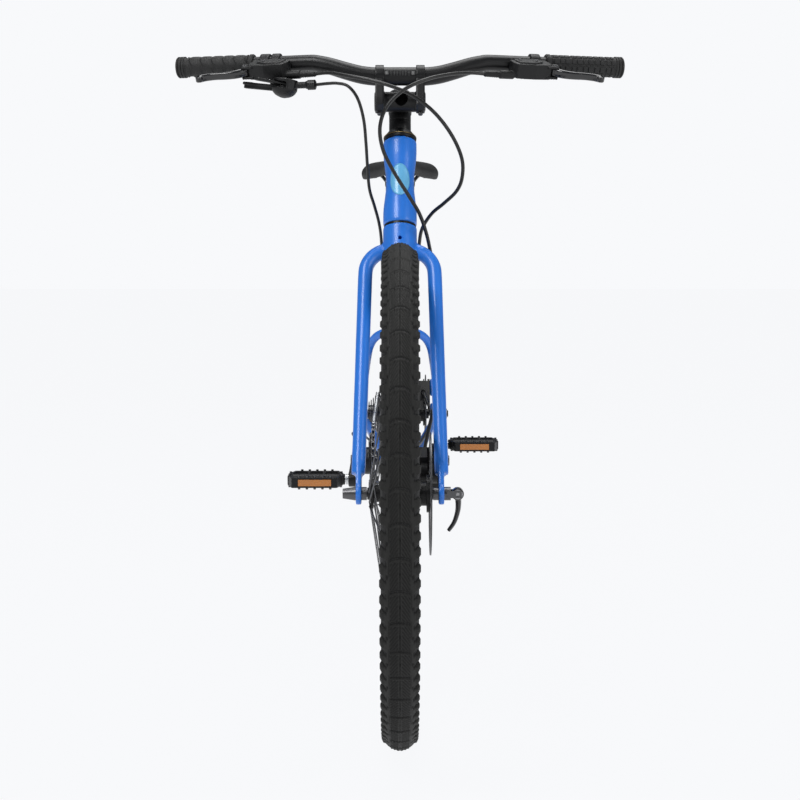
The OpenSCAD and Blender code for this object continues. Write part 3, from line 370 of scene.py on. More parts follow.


# painted shade in the tread's grooves, deeper grooves darker
painted_groove_shade(TREAD[0])
SIDEWALL = finish("tyre_rubber", "tyre_sidewall", (0.014, 0.014, 0.014), 0.66, grain=(1700, 0.35),
                  mottle=0.15, specular=0.35)
GRIP = finish("grip_rubber", "grip_rubber", (0.016, 0.016, 0.016), 0.62, grain=(1600, 0.25), mottle=0.1,
              specular=0.4)
STEEL = finish("bare_steel", "bare_steel", (0.56, 0.57, 0.58), 0.3, metal=1.0, grain=(600, 0.12),
               stretch=(1, 6, 6))
DARK_STEEL = finish("dark_steel", "dark_steel", (0.13, 0.13, 0.135), 0.38, metal=1.0, grain=(900, 0.15))
ALLOY = finish("bare_steel", "machined_alloy", (0.4, 0.4, 0.41), 0.35, metal=1.0, grain=(500, 0.15),
               stretch=(8, 1, 1))
LEATHER = finish("saddle_cover", "saddle_cover", (0.013, 0.013, 0.013), 0.6, grain=(900, 0.55),
                 pattern="cells", specular=0.34)
AMBER = finish("amber_plastic", "amber_reflector", (0.5, 0.17, 0.02), 0.18, grain=(420, 0.9),
               pattern="cells", coat=0.6)
HOSE = finish("hose", "hose_cover", (0.005, 0.005, 0.005), 0.34, grain=(1200, 0.1))
BADGE = finish("painted_frame", "badge_enamel", (0.15, 0.5, 0.82), 0.3, grain=(500, 0.05), coat=0.3)
MARKS = finish("satin_black_metal", "printed_marks", (0.13, 0.13, 0.13), 0.5)
BRASS = finish("bare_steel", "seal_ring", (0.32, 0.24, 0.12), 0.35, metal=1.0)

# ---------- camera, light and floor ----------
BACKDROP = (0.939, 0.947, 0.965, 1)
FLOOR_HALF = 60000
camera = add("camera", bpy.data.cameras.new("camera"))
camera.location = (0, -2.31315, 0.60707)
camera.rotation_euler = (radians(90 - 5.136), 0, 0)
camera.data.sensor_width = 36
camera.data.lens = 62.51265
bpy.context.scene.camera = camera
bpy.context.scene.view_settings.view_transform = "Standard"


def lamp(name, stand, aim, size, watts):
    data = bpy.data.lights.new(name, "AREA")
    data.shape = "DISK"
    data.size = size
    data.energy = watts
    obj = add(name, data)
    obj.location = stand
    obj.rotation_euler = (Vector(aim) - Vector(stand)).to_track_quat("-Z", "Y").to_euler()
    obj.visible_camera = False


lamp("key", (-1.4, -2.4, 3.2), (0, -0.3, 0.5), 1.5, 62)
lamp("fill", (2.4, -2.2, 1.6), (0, -0.2, 0.5), 1.8, 22)
lamp("top", (0.2, 0.4, 3.6), (0, 0, 0.4), 2.4, 60)
# the backdrop is white to the camera and dimmer as a light
world = bpy.data.worlds.new("studio")
bpy.context.scene.world = world
world.use_nodes = True
sky, sky_links = world.node_tree.nodes, world.node_tree.links
settings(sky["Background"], Color=(0.9, 0.94, 1.0, 1), Strength=0.22)
white = settings(sky.new("ShaderNodeBackground"), Color=BACKDROP)
seen = sky.new("ShaderNodeLightPath")
chosen = sky.new("ShaderNodeMixShader")
sky_links.new(seen.outputs["Is Camera Ray"], chosen.inputs["Fac"])
sky_links.new(sky["Background"].outputs["Background"], chosen.inputs[1])
sky_links.new(white.outputs["Background"], chosen.inputs[2])
sky_links.new(chosen.outputs["Shader"], sky["World Output"].inputs["Surface"])

floor = make("floor", box((-FLOOR_HALF, -FLOOR_HALF, -12), (FLOOR_HALF, FLOOR_HALF, -0.1)))
floor_paint = bpy.data.materials.new("pale_floor")
floor_paint.use_nodes = True
settings(floor_paint.node_tree.nodes["Principled BSDF"], Base_Color=(0.02, 0.02, 0.02, 1), Roughness=1.0,
         Specular_IOR_Level=0.0, Emission_Color=BACKDROP, Emission_Strength=0.98)
floor.data.materials.append(floor_paint)
floor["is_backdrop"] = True

# ---------- hoses, which follow the routes of the CAD part ----------
FRONT_HOSE = [
    (130, -345, 886), (118, -348, 886), (98, -357, 886), (68, -379, 881), (36, -402, 871), (6, -414, 856),
    (-17, -418, 834), (-27, -416, 806), (-23, -411, 776), (-8, -408, 746), (13, -403, 713), (27, -394, 690),
    (37, -373, 663), (44, -352, 634), (50, -362, 611), (51, -378, 580), (51, -401, 534), (51, -416, 503),
    (50, -425, 468), (46, -430, 430), (39, -433, 397), (34, -437.5, 373.5), (34, -442, 362),
]
REAR_HOSE = [
    (-130, -345, 886), (-118, -348, 886), (-98, -357, 886), (-70, -376, 879), (-41, -388, 872),
    (-7, -396, 861), (20, -399, 848), (48, -397, 826), (71, -390, 797), (85, -380, 767), (86, -370, 742),
    (79, -356, 724), (62, -339, 708), (45, -324, 694), (32, -303, 674), (28, -280, 652), (26, -240, 615),
    (26, -150, 526),
    (26, -60, 438), (26, 20, 360), (29, 80, 320), (32, 120, 309), (38, 180, 307), (49, 260, 315),
    (60, 360, 327), (59, 395, 341), (52, 420, 362), (47, 435, 373.5), (46.2, 446, 375.7),
]
SHIFT_HOUSING = [
    (-123, -355, 869.7), (-115, -357, 870), (-100, -364, 870.5), (-86, -370, 870), (-71, -377, 865),
    (-58, -379, 848), (-50, -375, 820), (-47, -366, 788), (-45.5, -355, 760), (-43, -341, 728),
    (-36, -328, 704), (-30, -308, 681), (-27, -284, 656), (-26, -240, 615), (-26, -150, 526), (-26, -60, 438),
    (-26, 20, 360), (-27, 58, 312), (-27, 66, 276), (-28, 88, 253), (-31, 130, 250), (-38, 200, 268),
    (-50, 300, 284), (-68, 420, 288), (-84, 490, 276), (-97, 545, 277), (-99, 582, 277), (-94, 596, 266),
    (-87, 586, 254), (-86, 570, 252), (-86, 561, 252),
]
HOSE_R = 2.6
HOUSING_R = 2.2


def hose(name, path, radius, node):
    obj = make(name, tube(smooth_path(path, 7), radius - 0.03, 14))
    obj.data.materials.append(HOSE[0])
    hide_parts(node)
    return obj


front_hose = hose("front_hose", FRONT_HOSE, HOSE_R, "front_brake_hose")
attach(front_hose, "steering")
rear_hose = hose("rear_hose", REAR_HOSE, HOSE_R, "rear_brake_hose")
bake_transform(rear_hose)
housing = hose("gear_housing", SHIFT_HOUSING, HOUSING_R, "shift_housing")
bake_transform(housing)

# ---------- main frame ----------
HEAD_LOW, HEAD_HIGH, HEAD_R, WAIST_R = 390, 518, 23.7, 19.8
COLLAR_H = 15
WAIST_H = HEAD_HIGH - HEAD_LOW - 2 * COLLAR_H


def waist_radius(t):
    """The head tube's radius at a share of the way between its two collars."""
    return WAIST_R + (HEAD_R - WAIST_R) * cos(pi * t) ** 2


def head_profile(n=24):
    waist = [(HEAD_LOW + COLLAR_H + WAIST_H * i / n, waist_radius(i / n)) for i in range(1, n)]
    return [(HEAD_LOW, HEAD_R), (HEAD_LOW + COLLAR_H, HEAD_R)] + waist + [
        (HEAD_HIGH - COLLAR_H, HEAD_R), (HEAD_HIGH, HEAD_R)]


def on_seat(t):
    """A point on the seat tube's line, t from the bottom bracket."""
    return np.array(BB) + t * np.array((0, cos(SEAT_ANGLE), sin(SEAT_ANGLE)))


DOWN_START = np.array(STEERING @ Vector((0, 0, 426)))
DOWN_DIR = unit(np.array(BB) - DOWN_START)
DOWN_TILT = degrees(atan2(-DOWN_DIR[2], -DOWN_DIR[1]))


def on_down(t):
    """A point on the down tube's line, t from the head tube."""
    return DOWN_START + t * DOWN_DIR


CHAINSTAY = [
    *rel(BB, (14, 8, 0), (21, 16, 1), (24, 45, 3), (29, 75, 5), (38, 127, 10), (48, 200, 17), (60, 290, 26),
         (69, 350, 31)),
    *rel(REAR_AXLE, (73, -44, -7), (72, -15, -2)),
]
SEATSTAY = [
    *rel(on_seat(232), (2, 2, 2), (25, 24, -1), (43, 44, -10), (54, 62, -26), (60, 90, -50)),
    *rel(REAR_AXLE, (72, -62, 59), (72.5, -18, 16)),
]
BOTTLE_AT = (292, 356)
GUIDE_AT = (146, 324, 462)


def down_boss(t, r, low, high):
    """A round boss that stands on the down tube's upper side, or the bore in it."""
    return moved(lathe([(low, r), (high, r)], 24), move(*on_down(t)) @ turn(DOWN_TILT, "X"))


def dropout(x0, x1):
    """The plate round the rear axle: a lobe for each stay and for the rack, and one round the axle."""
    parts = [link((0, 0), (-32, -5), 14, 10), link((0, 8), (-36, 34), 11, 8.5),
             link((0, 6), (20, 21), 9, 6.5), link((0, 0), (0.1, 0), 17, 17)]
    return moved(joined(*(prism(p, x0, x1, "X") for p in parts)), REAR_WHEEL)


frame_solids = joined(
    moved(lathe(head_profile()), STEERING),
    tube([DOWN_START, BB], 21, 64),
    tube([np.array(STEERING @ Vector((0, 0, 495))), on_seat(350)], 17.5, 64),
    moved(lathe([(0, 15.9), (394, 15.9)]), SEAT_TUBE),
    moved(lathe([(-36.5, 20.5), (36.5, 20.5)], 64, "X"), move(*BB)),
    both(tube(smooth_path(CHAINSTAY, 5), [9, 9, 7.6], 28)),
    both(tube(smooth_path(SEATSTAY, 6), [7.8, 7.2], 28)),
    both(dropout(67.5, 73.5)),
    moved(prism(link((13, -4), (9, -30), 7, 8), -73.5, -67.5, "X"), REAR_WHEEL),
    *(moved(prism(link(ear, root, 7, 8), 59.9, 65.9, "X"), REAR_WHEEL)
      for ear, root in (((-75.4, 22.1), (-74, -6)), ((-39.7, 67.8), (-50, 48)))),
    *(down_boss(t, 5.2, 0, 22) for t in BOTTLE_AT),
    *(moved(lathe([(-23.2, 4), (23.2, 4)], 24, "X"), move(*on_down(t))) for t in GUIDE_AT),
)
frame_cuts = joined(
    moved(lathe([(380, 17.2), (520, 17.2)]), STEERING),
    moved(lathe([(225, 13.9), (400, 13.9)]), SEAT_TUBE),
    moved(lathe([(-40, 17.4), (40, 17.4)], 48, "X"), move(*BB)),
    both(moved(lathe([(60, 5.2), (80, 5.2)], 24, "X"), REAR_WHEEL)),
    both(moved(lathe([(60, 2.1), (80, 2.1)], 20, "X"), REAR_WHEEL @ move(0, 20, 21))),
    *(down_boss(t, 2.1, 13, 30) for t in BOTTLE_AT),
)
main_frame = fuse("frame_skin", frame_solids, 2.3, 5, cut=frame_cuts)
place(main_frame, "frame", PAINT, "head_tube", "top_tube", "down_tube", "seat_tube",
      "bottom_bracket_shell", "chainstays", "seatstays", "rear_dropouts")

# plain oval badge on the waist of the head tube
BADGE_RINGS, BADGE_SIDES = 9, 32
badge_points = []
for i in range(BADGE_RINGS):
    share = i / (BADGE_RINGS - 1)
    for k in range(BADGE_SIDES):
        u = 14.5 * share * cos(2 * pi * k / BADGE_SIDES)
        z = 452 + 24 * share * sin(2 * pi * k / BADGE_SIDES)
        neck = waist_radius((z - HEAD_LOW - COLLAR_H) / WAIST_H)
        r = neck + 0.35 + 0.25 * cos(pi / 2 * share)
        badge_points.append((r * sin(u / r), -r * cos(u / r), z))
badge = make("head_badge", (np.array(badge_points), walls(BADGE_RINGS, BADGE_SIDES)), STEERING)
solid = badge.modifiers.new("thickness", "SOLIDIFY")
solid.thickness = 0.5 * MM
solid.offset = -1
place(badge, "frame", BADGE)

# ---------- fork ----------
ARC_X, ARC_R, ARC_Z, BLADE_LEN = 12, 36, 354, 330
BLADE_TOP_X, BLADE_X = 48.2, 54.5
shoulder = [(ARC_X + ARC_R * cos(a), 0, -ARC_R + ARC_R * sin(a))
            for a in np.radians(np.arange(90, 5, -6))]
leg = [(BLADE_TOP_X + (BLADE_X - BLADE_TOP_X) * t, 0, -ARC_R + (ARC_R - BLADE_LEN) * t)
       for t in np.linspace(0.03, 1, 14)]
blade = tube(shoulder + leg, [10.3, 10.3, 10.0, 9.6, 9.2], 40)
RAKE = move(0, 0, ARC_Z) @ turn(-7, "X")
# where the front caliper bolts on, in the steering frame's y-z plane
UPPER_EAR, LOWER_EAR = (-6.7, 69.1), (30.6, 24.7)
fork_solids = joined(
    lathe([(342, 20), (343.5, 22.8), (346, HEAD_R), (386, HEAD_R), (387, HEAD_R - 0.6)]),
    lathe([(360, 14.3), (589, 14.3)]),
    both(moved(blade, RAKE)),
    both(moved(tube([(0, 0, 0), (ARC_X + 1, 0, 0)], 10.3, 40), RAKE)),
    both(prism(link((-44, 0), (-44.1, 0), 14.5, 14.5), 50, 57.5, "X")),
    both(prism(link((-44, 0), (-40.5, 36), 12, 8.6), 50, 57.5, "X")),
    *(prism(link(*ends), 51.6, 56.6, "X") for ends in (
        ((-34, 76), UPPER_EAR, 9, 7), ((-38, 42), LOWER_EAR, 9, 7), (UPPER_EAR, LOWER_EAR, 7, 7))),
)
fork_cuts = joined(
    moved(lathe([(-60, 2.8), (-2, 2.8)], 24, "Y"), move(0, 0, 364)),
    both(moved(lathe([(45, 4.9), (60, 4.9)], 24, "X"), move(0, -44, 0))),
)
fork = fuse("fork_skin", fork_solids, 1.5, 6, STEERING, fork_cuts)
place(fork, "steering", PAINT, "fork")

# ---------- tyres ----------
TREADS = 54
STEPS = 34
TREAD_HALF = 27.5
CASING_R = 21.0
TUBE_C = WHEEL_R - 22.5
TREAD_DEPTH = 1.5


def bump_up(x, half, edge):
    """1 inside a band of half-width half, falling to 0 over edge."""
    return np.clip((half - np.abs(x)) / edge + 0.5, 0, 1)


def tread_height(s, t):
    """Height over the casing in mm at s, the place along one repeat from 0 to 1, and t, mm across."""
    pitch = 2 * pi * WHEEL_R / TREADS
    side = np.abs(t)
    height = np.full(np.broadcast(s, t).shape, TREAD_DEPTH)
    along = (s * pitch - 0.028 * np.minimum(side, 12) ** 2) % pitch
    # arched groove across the centre band, with a raised lip behind it
    beside = (along + pitch / 2) % pitch - pitch / 2
    height -= 1.4 * bump_up(beside, 1.3, 0.9) * bump_up(side, 11.2, 1.2)
    height += 0.7 * bump_up(beside - 3.6, 0.9, 0.7) * bump_up(side, 11.2, 1.2)
    # a pip and a thin slit on the centre line
    height -= 1.2 * bump_up(along - 0.5 * pitch, 1.2, 0.9) * bump_up(side, 0.6, 0.9)
    height -= 0.9 * bump_up(side, 0.4, 0.7)
    # fine diagonal hatch
    hatch = np.cos(2 * pi * (along * 7 / pitch - side / 3.8))
    height += (0.6 * hatch - 0.5) * bump_up(side - 6.4, 4.6, 0.8)
    # edge of the centre band, and a dimple beyond it
    height -= 1.0 * bump_up(side - 12.2, 0.5, 0.9) * bump_up((s + 0.2) % 1 - 0.5, 0.3, 0.06)
    height -= 1.3 * bump_up(side - 14.6, 1.2, 0.8) * bump_up(s - 0.62, 0.06, 0.04)
    # shoulder blocks and outer knobs, two for each repeat
    gap = (s * 2 + 0.02 * (side - 16)) % 1
    wide = 0.14 + 0.05 * (s % 1 < 0.5)
    height -= 1.4 * bump_up(gap - 0.5, wide, 0.1) * bump_up(side - 17.4, 1.9, 0.9)
    knob = bump_up(side - 23.0, 3.4, 1.3) * (1 - bump_up(gap - 0.5, wide + 0.05, 0.12))
    height += 1.9 * knob - 1.45 * bump_up(side - 23.5, 4.4, 1.2) * bump_up(gap - 0.5, wide + 0.05, 0.12)
    height -= 0.8 * bump_up(side - 19.6, 0.35, 0.7)
    height *= 1 - bump_up(side - 28.5, 1.6, 1.4)
    return np.maximum(height, 0.05)


def tread_shape():
    """The tread's open skin all round the tyre, and how high each of its points stands."""
    rows = TREADS * STEPS
    side_band = np.linspace(12, TREAD_HALF, 15)
    across = np.concatenate([-side_band[::-1], np.linspace(-11.2, 11.2, 25), side_band])
    s = (np.arange(rows) / STEPS)[:, None] % 1
    t = across[None, :]
    angle = t / CASING_R
    height = tread_height(s, t)
    r = CASING_R + height - 0.02
    turned = 2 * pi * (np.arange(rows) / rows)[:, None]
    x = r * np.sin(angle)
    ring = TUBE_C + r * np.cos(angle)
    x, ring = np.broadcast_arrays(x, ring)
    verts = np.stack([x, -ring * np.sin(turned), ring * np.cos(turned)], -1).reshape(-1, 3)
    depth = np.clip(np.broadcast_to(height, x.shape) / TREAD_DEPTH, 0, 1).ravel()
    cols = len(across)
    i = np.arange(rows)[:, None]
    k = np.arange(cols - 1)[None, :]
    a, b = i * cols + k, (i + 1) % rows * cols + k
    faces = np.stack([a, b, b + 1, a + 1], -1).reshape(-1, 4)
    return verts, [tuple(f) for f in faces.tolist()], depth


def casing_shape(sides=180):
    """The casing from bead to bead, with moulded rings on its walls; it goes under the tread."""
    section = []
    for a in np.linspace(-2.42, 2.42, 64):
        ridge = 0.25 * (bump_up(abs(a) - 1.42, 0.03, 0.02) + bump_up(abs(a) - 1.9, 0.03, 0.02))
        r = CASING_R + 0.1 + ridge + 0.9 * max(0, abs(a) - 2.0)
        section.append((r * sin(a), TUBE_C + r * cos(a)))
    # the beads, inside the rim
    section += [(12.2, 276), (10.8, 274), (-10.8, 274), (-12.2, 276)]
    angle = np.linspace(0, 2 * pi, sides, endpoint=False)
    verts = [(x, -ring * sin(a), ring * cos(a)) for a in angle for x, ring in section]
    return np.array(verts), walls(sides, len(section), True)


*tread_mesh, tread_depth = tread_shape()
casing_mesh = casing_shape()
valve_shape = joined(lathe([(235, 1.6), (237, 2.9), (249, 2.9), (250, 2.5), (262, 2.5)], 20),
                     lathe([(259.5, 4.2), (262.2, 4.2)], 6))
for end, wheel in (("front", FRONT_WHEEL), ("rear", REAR_WHEEL)):
    tread = make(end + "_tread", tread_mesh, wheel)
    relief = tread.data.attributes.new("relief", "FLOAT", "POINT")
    relief.data.foreach_set("value", tread_depth.astype(np.float32))
    soften(tread, 60)
    place(tread, end + "_wheel", TREAD, end + "_tyre")
    casing = make(end + "_casing", casing_mesh, wheel)
    place(casing, end + "_wheel", SIDEWALL)
    valve = make(end + "_valve", valve_shape, wheel @ turn(5.6, "X"))
    soften(valve, 30)
    place(valve, end + "_wheel", DARK_STEEL)

# ---------- headset and stem ----------
cover = make("headset_cover_skin", joined(
    lathe([(387.02, HEAD_R - 1.2), (389.7, HEAD_R - 1.2)]),
    lathe([(518.3, 21), (519, 23), (522.8, 23.5), (524.6, 23.2), (528, 20.2), (532.5, 17), (533.2, 16.2)]),
    lathe(rounded(533.3, 547, 15.6, 0.6)),
    lathe([(546.5, 14.9), (549.5, 14.9)]),
    lathe(rounded(548.2, 560, 15.6, 0.6)),
), STEERING)
place(soften(cover, 40), "steering", SATIN, "headset_cover")
seal = make("headset_seal", lathe([(522.9, 23.0), (523.2, 23.62), (524.2, 23.62), (524.5, 23.0)]), STEERING)
place(soften(seal), "steering", BRASS)

STRAP_X, STRAP_W = 22.5, 12
BAR_AT, CROSS_AT = (-60, 590), (-38, 562)
strap_outline = prism(link(BAR_AT, CROSS_AT, 15.7, 13.9, 20), STRAP_X, STRAP_X + STRAP_W, "X")
strap_web = prism([(-61, 600), (-72.8, 596), (-73.2, 541), (-61, 537.5), (-50, 538), (-38, 549), (-38, 575)],
                  STRAP_X, STRAP_X + STRAP_W, "X")
stem_solids = joined(
    lathe(rounded(560.05, 592, 16.6, 2)),
    box((-13, -34, 559), (13, -10, 575)),
    moved(lathe(rounded(-36, 36, 14, 2), 64, "X"), move(0, *CROSS_AT)),
    box((-10, 14, 562), (10, 27, 590)),
    both(strap_outline),
    both(strap_web),
)
stem_cuts = joined(
    moved(lathe([(-80, 9.6), (-28, 9.6)], 40, "Y"), move(1.5, 0, 561)),
    box((-0.8, 18, 550), (0.8, 40, 600)),
    both(box((STRAP_X - 1, -61.4, 530), (STRAP_X + STRAP_W + 1, -60.8, 548.5))),
)
stem = fuse("stem_skin", stem_solids, 0.9, 4, STEERING, stem_cuts)
place(stem, "steering", SATIN, "stem", "stem_caps")


def socket_bolt(r, h, socket):
    """A cap screw's head along +z with a hexagonal recess in it."""
    rim = 24
    outer, inner = [], []
    for k in range(rim):
        a = 2 * pi * k / rim
        flat = socket / cos((a % (pi / 3)) - pi / 6)
        outer.append((r * cos(a), r * sin(a)))
        inner.append((flat * cos(a), flat * sin(a)))
    levels = [(outer, 0, 1), (outer, h - 0.5, 1), (outer, h, 0.88), (inner, h, 1), (inner, h - 0.6 * r, 1)]
    verts = [(x * k, y * k, z) for ring, z, k in levels for x, y in ring]
    return np.array(verts), walls(5, rim) + caps(5, rim)


bolts = [moved(socket_bolt(3.2, 5.2, 1.6), move(side * (STRAP_X + STRAP_W / 2), -54.5, 539) @ turn(180, "X"))
         for side in (-1, 1)]
bolts += [moved(socket_bolt(4, 4.5, 2), move(-9.8, 22, z) @ turn(-90, "Y")) for z in (566, 584)]
# the steerer's top cap and its bolt
bolts += [lathe(rounded(592, 595, 15.4, 1)), moved(socket_bolt(5, 2.0, 2.5), move(0, 0, 595))]
stem_bolts = make("stem_bolt_heads", joined(*bolts), STEERING)
place(soften(stem_bolts, 30), "steering", DARK_STEEL, "stem_bolts")

# ---------- handlebar and grips ----------
half_bar = [(0, 0, 0), (27, 0, 0), (40, 0.1, 0.3), (56, 0.6, 2.6), (76, 2, 8), (98, 4.5, 14.8),
            (113, 6.6, 18.3), tuple(BAR_BEND), (160, 16.1, 19.8), (220, 28.3, 19.5), (280, 40.5, 19.2),
            (312, 47, 19)]
bar_points = [(-x, y, z) for x, y, z in half_bar[:0:-1]] + half_bar
bar_line = smooth_path(bar_points, 5)
bar_radius = np.interp(np.abs(bar_line[:, 0]), [0, 34, 62, 130, 400], [12.65, 12.65, 12.2, 11.1, 11.1])
bar = make("handlebar_tube", tube(bar_line, bar_radius, 48), move(*BAR_CENTRE))
place(bar, "steering", SATIN, "handlebar")


def bar_patch(x0, x1, a0, a1, r=12.72, steps=6):
    """A thin printed patch wrapped on the bar's front between two angles."""
    angle = np.radians(np.linspace(a0, a1, steps))
    section = ((x0, r), (x1, r), (x1, r - 0.3), (x0, r - 0.3))
    verts = [(x, -rr * cos(a), rr * sin(a)) for x, rr in section for a in angle]
    return np.array(verts), [
        (i * steps + k, i * steps + k + 1, (i + 1) % 4 * steps + k + 1, (i + 1) % 4 * steps + k)
        for i in range(4) for k in range(steps - 1)]


patches = [bar_patch(s * 18.6 - 2.6, s * 18.6 + 2.6, 4, 27) for s in (-1, 1)]
patches += [bar_patch(x - 0.22, x + 0.22, -2, 30) for x in (-12.5, -8, -4, 0, 4, 8, 12.5)]
marks = make("bar_marks", joined(*patches), move(*BAR_CENTRE))
place(marks, "steering", MARKS)

GRIP_LEN = 114
GRIP_R, FLANGE_R = 13.0, 14.9
INNER_FLANGE, OUTER_FLANGE = 6, 13
RELIEF_MARGIN = 2


def grip_radius(u, a, blocks):
    """A grip's radius u mm from its inner end, at the angle a."""
    if u < INNER_FLANGE:
        return FLANGE_R if u > 0.8 else 14.0
    past = u - (GRIP_LEN - OUTER_FLANGE)
    if past > 0:
        ring = FLANGE_R if past % 4.4 > 1.0 else 13.7
        return min(ring, FLANGE_R - max(0, u - (GRIP_LEN - 1.2)))
    if not INNER_FLANGE + RELIEF_MARGIN < u < GRIP_LEN - OUTER_FLANGE - RELIEF_MARGIN:
        return GRIP_R
    if blocks:
        groove = u % 17 < 2.4 or a % (pi / 4) < 0.14 or 8.6 < u % 17 < 9.8
        return GRIP_R if groove else 14.3
    wave = sin(2 * pi * u / 16.5 + 1.8 * sin(2 * a) + 0.6)
    return GRIP_R + 1.4 / (1 + exp(-9 * (wave + 0.15)))


def grip_shape(blocks, rows=170, cols=96):
    """A moulded grip with end flanges and a relief of blocks, or else of slanted ribs."""
    start = BAR_LEN - GRIP_LEN
    verts = []
    for i in range(rows + 1):
        u = GRIP_LEN * i / rows
        for k in range(cols):
            a = 2 * pi * k / cols
            r = grip_radius(u, a, blocks)
            verts.append((start + u, r * cos(a), r * sin(a)))
    return np.array(verts), walls(rows + 1, cols) + caps(rows + 1, cols)


grips = make("grip_rubber_pair", joined(moved(grip_shape(True), BAR[1]), moved(grip_shape(False), BAR[-1])))
place(soften(grips, 50), "steering", GRIP, "grips")

# ---------- brake levers ----------
lever_body = joined(
    lathe(rounded(58, 72, 14.6, 1), 48, "X"),
    prism([(25, -15), (27, -24), (34, -33), (60, -35), (81.5, -33), (82.5, -22), (76, -12), (40, -10)],
          -10.5, 10.5),
    prism([(30, -16), (36, -30), (60, -31), (70, -26), (66, -14)], 10, 12.6),
    box((76, -36, -9), (92, -22, -5.6)),
    box((76, -36, 5.6), (92, -22, 9)),
    box((58, -20, -8), (72, -8, 8)),
    moved(lathe(rounded(10, 31, 6.0, 1), 32, "X"), move(0, -24, -8)),
)
boot_folds = [(x, 3.6 + 0.5 * (k % 2) + 0.06 * k) for k, x in enumerate(np.arange(-11, 13, 1.6))]
boot = moved(lathe([(-12, 3.1), *boot_folds, (13, 5.2)], 28, "X"), move(0, -24, -8))
lever_screws = joined(
    moved(socket_bolt(2.6, 1.4, 1.3), move(38, -20, 12.3)),
    moved(socket_bolt(2.6, 1.4, 1.3), move(62, -22, 12.3)),
    moved(socket_bolt(3.2, 3, 1.6), move(65, -17, 4) @ turn(90, "X")),
    moved(socket_bolt(3.4, 1.2, 1.6), move(88, -30, 8.8)),
)
blade_line = smooth_path([(88, -30, 0), (99, -38.5, 0), (113, -42.6, 0), (128, -43.8, 0), (141, -47.6, 0),
                          (148.5, -53, 0)], 6)
blade_side = tube(blade_line, [4.4, 3.9, 3.4, 3.1, 3.1, 3.2], 28)
blade_shape = joined(
    tube(blade_line, [4.9, 4.3, 3.8, 3.5, 3.5, 3.6], 28),
    *(moved(blade_side, move(0, 0, z)) for z in (-2.1, 2.1)),
    moved(lathe(rounded(-5.1, 5.1, 5, 1), 32), move(88, -30, 0)),
    moved(lathe(rounded(-4, 4, 5.0, 1.2), 32), move(148.5, -53, 0)),
)
blade_hole = moved(lathe([(-12, 1.9), (12, 1.9)], 24), move(149, -53, 0))
bar_bore = lathe([(0, 11.1), (100, 11.1)], 48, "X")
for side, name in ((1, "left"), (-1, "right")):
    shell = fuse("brake_shell_" + name, lever_body, 0.8, 4, LEVER[side], bar_bore)
    place(shell, "steering", PLASTIC, "brake_body_" + name)
    place(soften(make("hose_boot_" + name, boot, LEVER[side]), 50), "steering", PLASTIC)
    screws = make("brake_screws_" + name, lever_screws, LEVER[side])
    place(soften(screws, 30), "steering", DARK_STEEL)
    blade = fuse("brake_blade_" + name, blade_shape, 0.7, 4, LEVER[side], blade_hole)
    place(blade, "brake_lever_" + name, GLOSS, "brake_lever_" + name)

# ---------- gear shifter ----------
pod_dome = [(-12.8 * sin(a), 17.8 * cos(a)) for a in np.radians(np.arange(75, -1, -8))]
shifter_pod = joined(
    lathe([(-13, 3), *pod_dome, (0, 17.8), (0.2, 17.2)], 56),
    lathe(rounded(8.3, 13, 17.8, 1.2), 56),
    lathe([(-3, 3), (11, 3)], 24),
    prism([(-16.5, -9), (-16.5, 9), (-9, 15), (-6, 15.4), (-14.6, 0), (-6, -15.4), (-9, -15)], -2, 10),
)
shifter_arm = joined(
    lathe(rounded(43, 55, 14.6, 0.8), 48, "X"),
    box((43, -18, -36), (55, 0, -8)),
    moved(lathe(rounded(-2, 16, 4.6, 0.6), 28, "X"), move(0, -26, -34)),
)
pod_on_bar = moved(shifter_pod, BAR[-1].inverted() @ SHIFTER)
shifter = fuse("shifter_shell", joined(pod_on_bar, shifter_arm), 0.8, 3, BAR[-1], bar_bore)
place(shifter, "steering", PLASTIC, "shifter_body")
BARREL_SIDES = 36
barrel_rings = ((-13.5, 5.6), (-12.6, 6.6), (-2.6, 6.6), (-1.6, 5.6), (0.5, 5.2))
knurl = []
for x, r in barrel_rings:
    for k in range(BARREL_SIDES):
        ridge = r + (0.35 if k % 2 and r > 6 else 0)
        a = 2 * pi * k / BARREL_SIDES
        knurl.append((x, ridge * cos(a), ridge * sin(a)))
barrel_faces = walls(len(barrel_rings), BARREL_SIDES) + caps(len(barrel_rings), BARREL_SIDES)
barrel = (np.array(knurl) + np.array((0, -26, -34)), barrel_faces)
place(soften(make("barrel_adjuster", barrel, BAR[-1]), 40), "steering", SATIN)


def paddle(low, reach, direction, lip):
    """A thumb paddle that turns on the pod's pin, with a ribbed pad and a lip below it."""
    ribs = [prism(link((x, -13), (x, -1), 0.6, 0.6, 4), 3.2, 4.1) for x in range(reach - 10, reach + 5, 3)]
    shape = joined(
        prism(link((0, 0), (reach - 18, -6), 10, 6.5), 0.3, 3.4),
        lathe([(0.3, 11.3), (3.4, 11.3)], 40),
        prism(link((reach - 18, -6), (reach, -8), 6.5, 7.4), 0.2, 3.5),
        prism(link((17, -6), (reach - 1, -10), 3, 4.4), -lip, 3),
        *ribs,
    )
    return moved(shape, move(0, 0, low) @ turn(direction, "Z"))


for name, low, reach, direction, lip in (("main", -0.1, 62, 25, 5), ("release", 4, 36, -22, 0.1)):
    thumb = fuse("shift_paddle_" + name, paddle(low, reach, direction, lip), 0.6, 3, SHIFTER,
                 lathe([(-3, 3.08), (12, 3.08)], 24))
    place(thumb, "shift_lever_" + name, PLASTIC, "shift_lever_" + name)

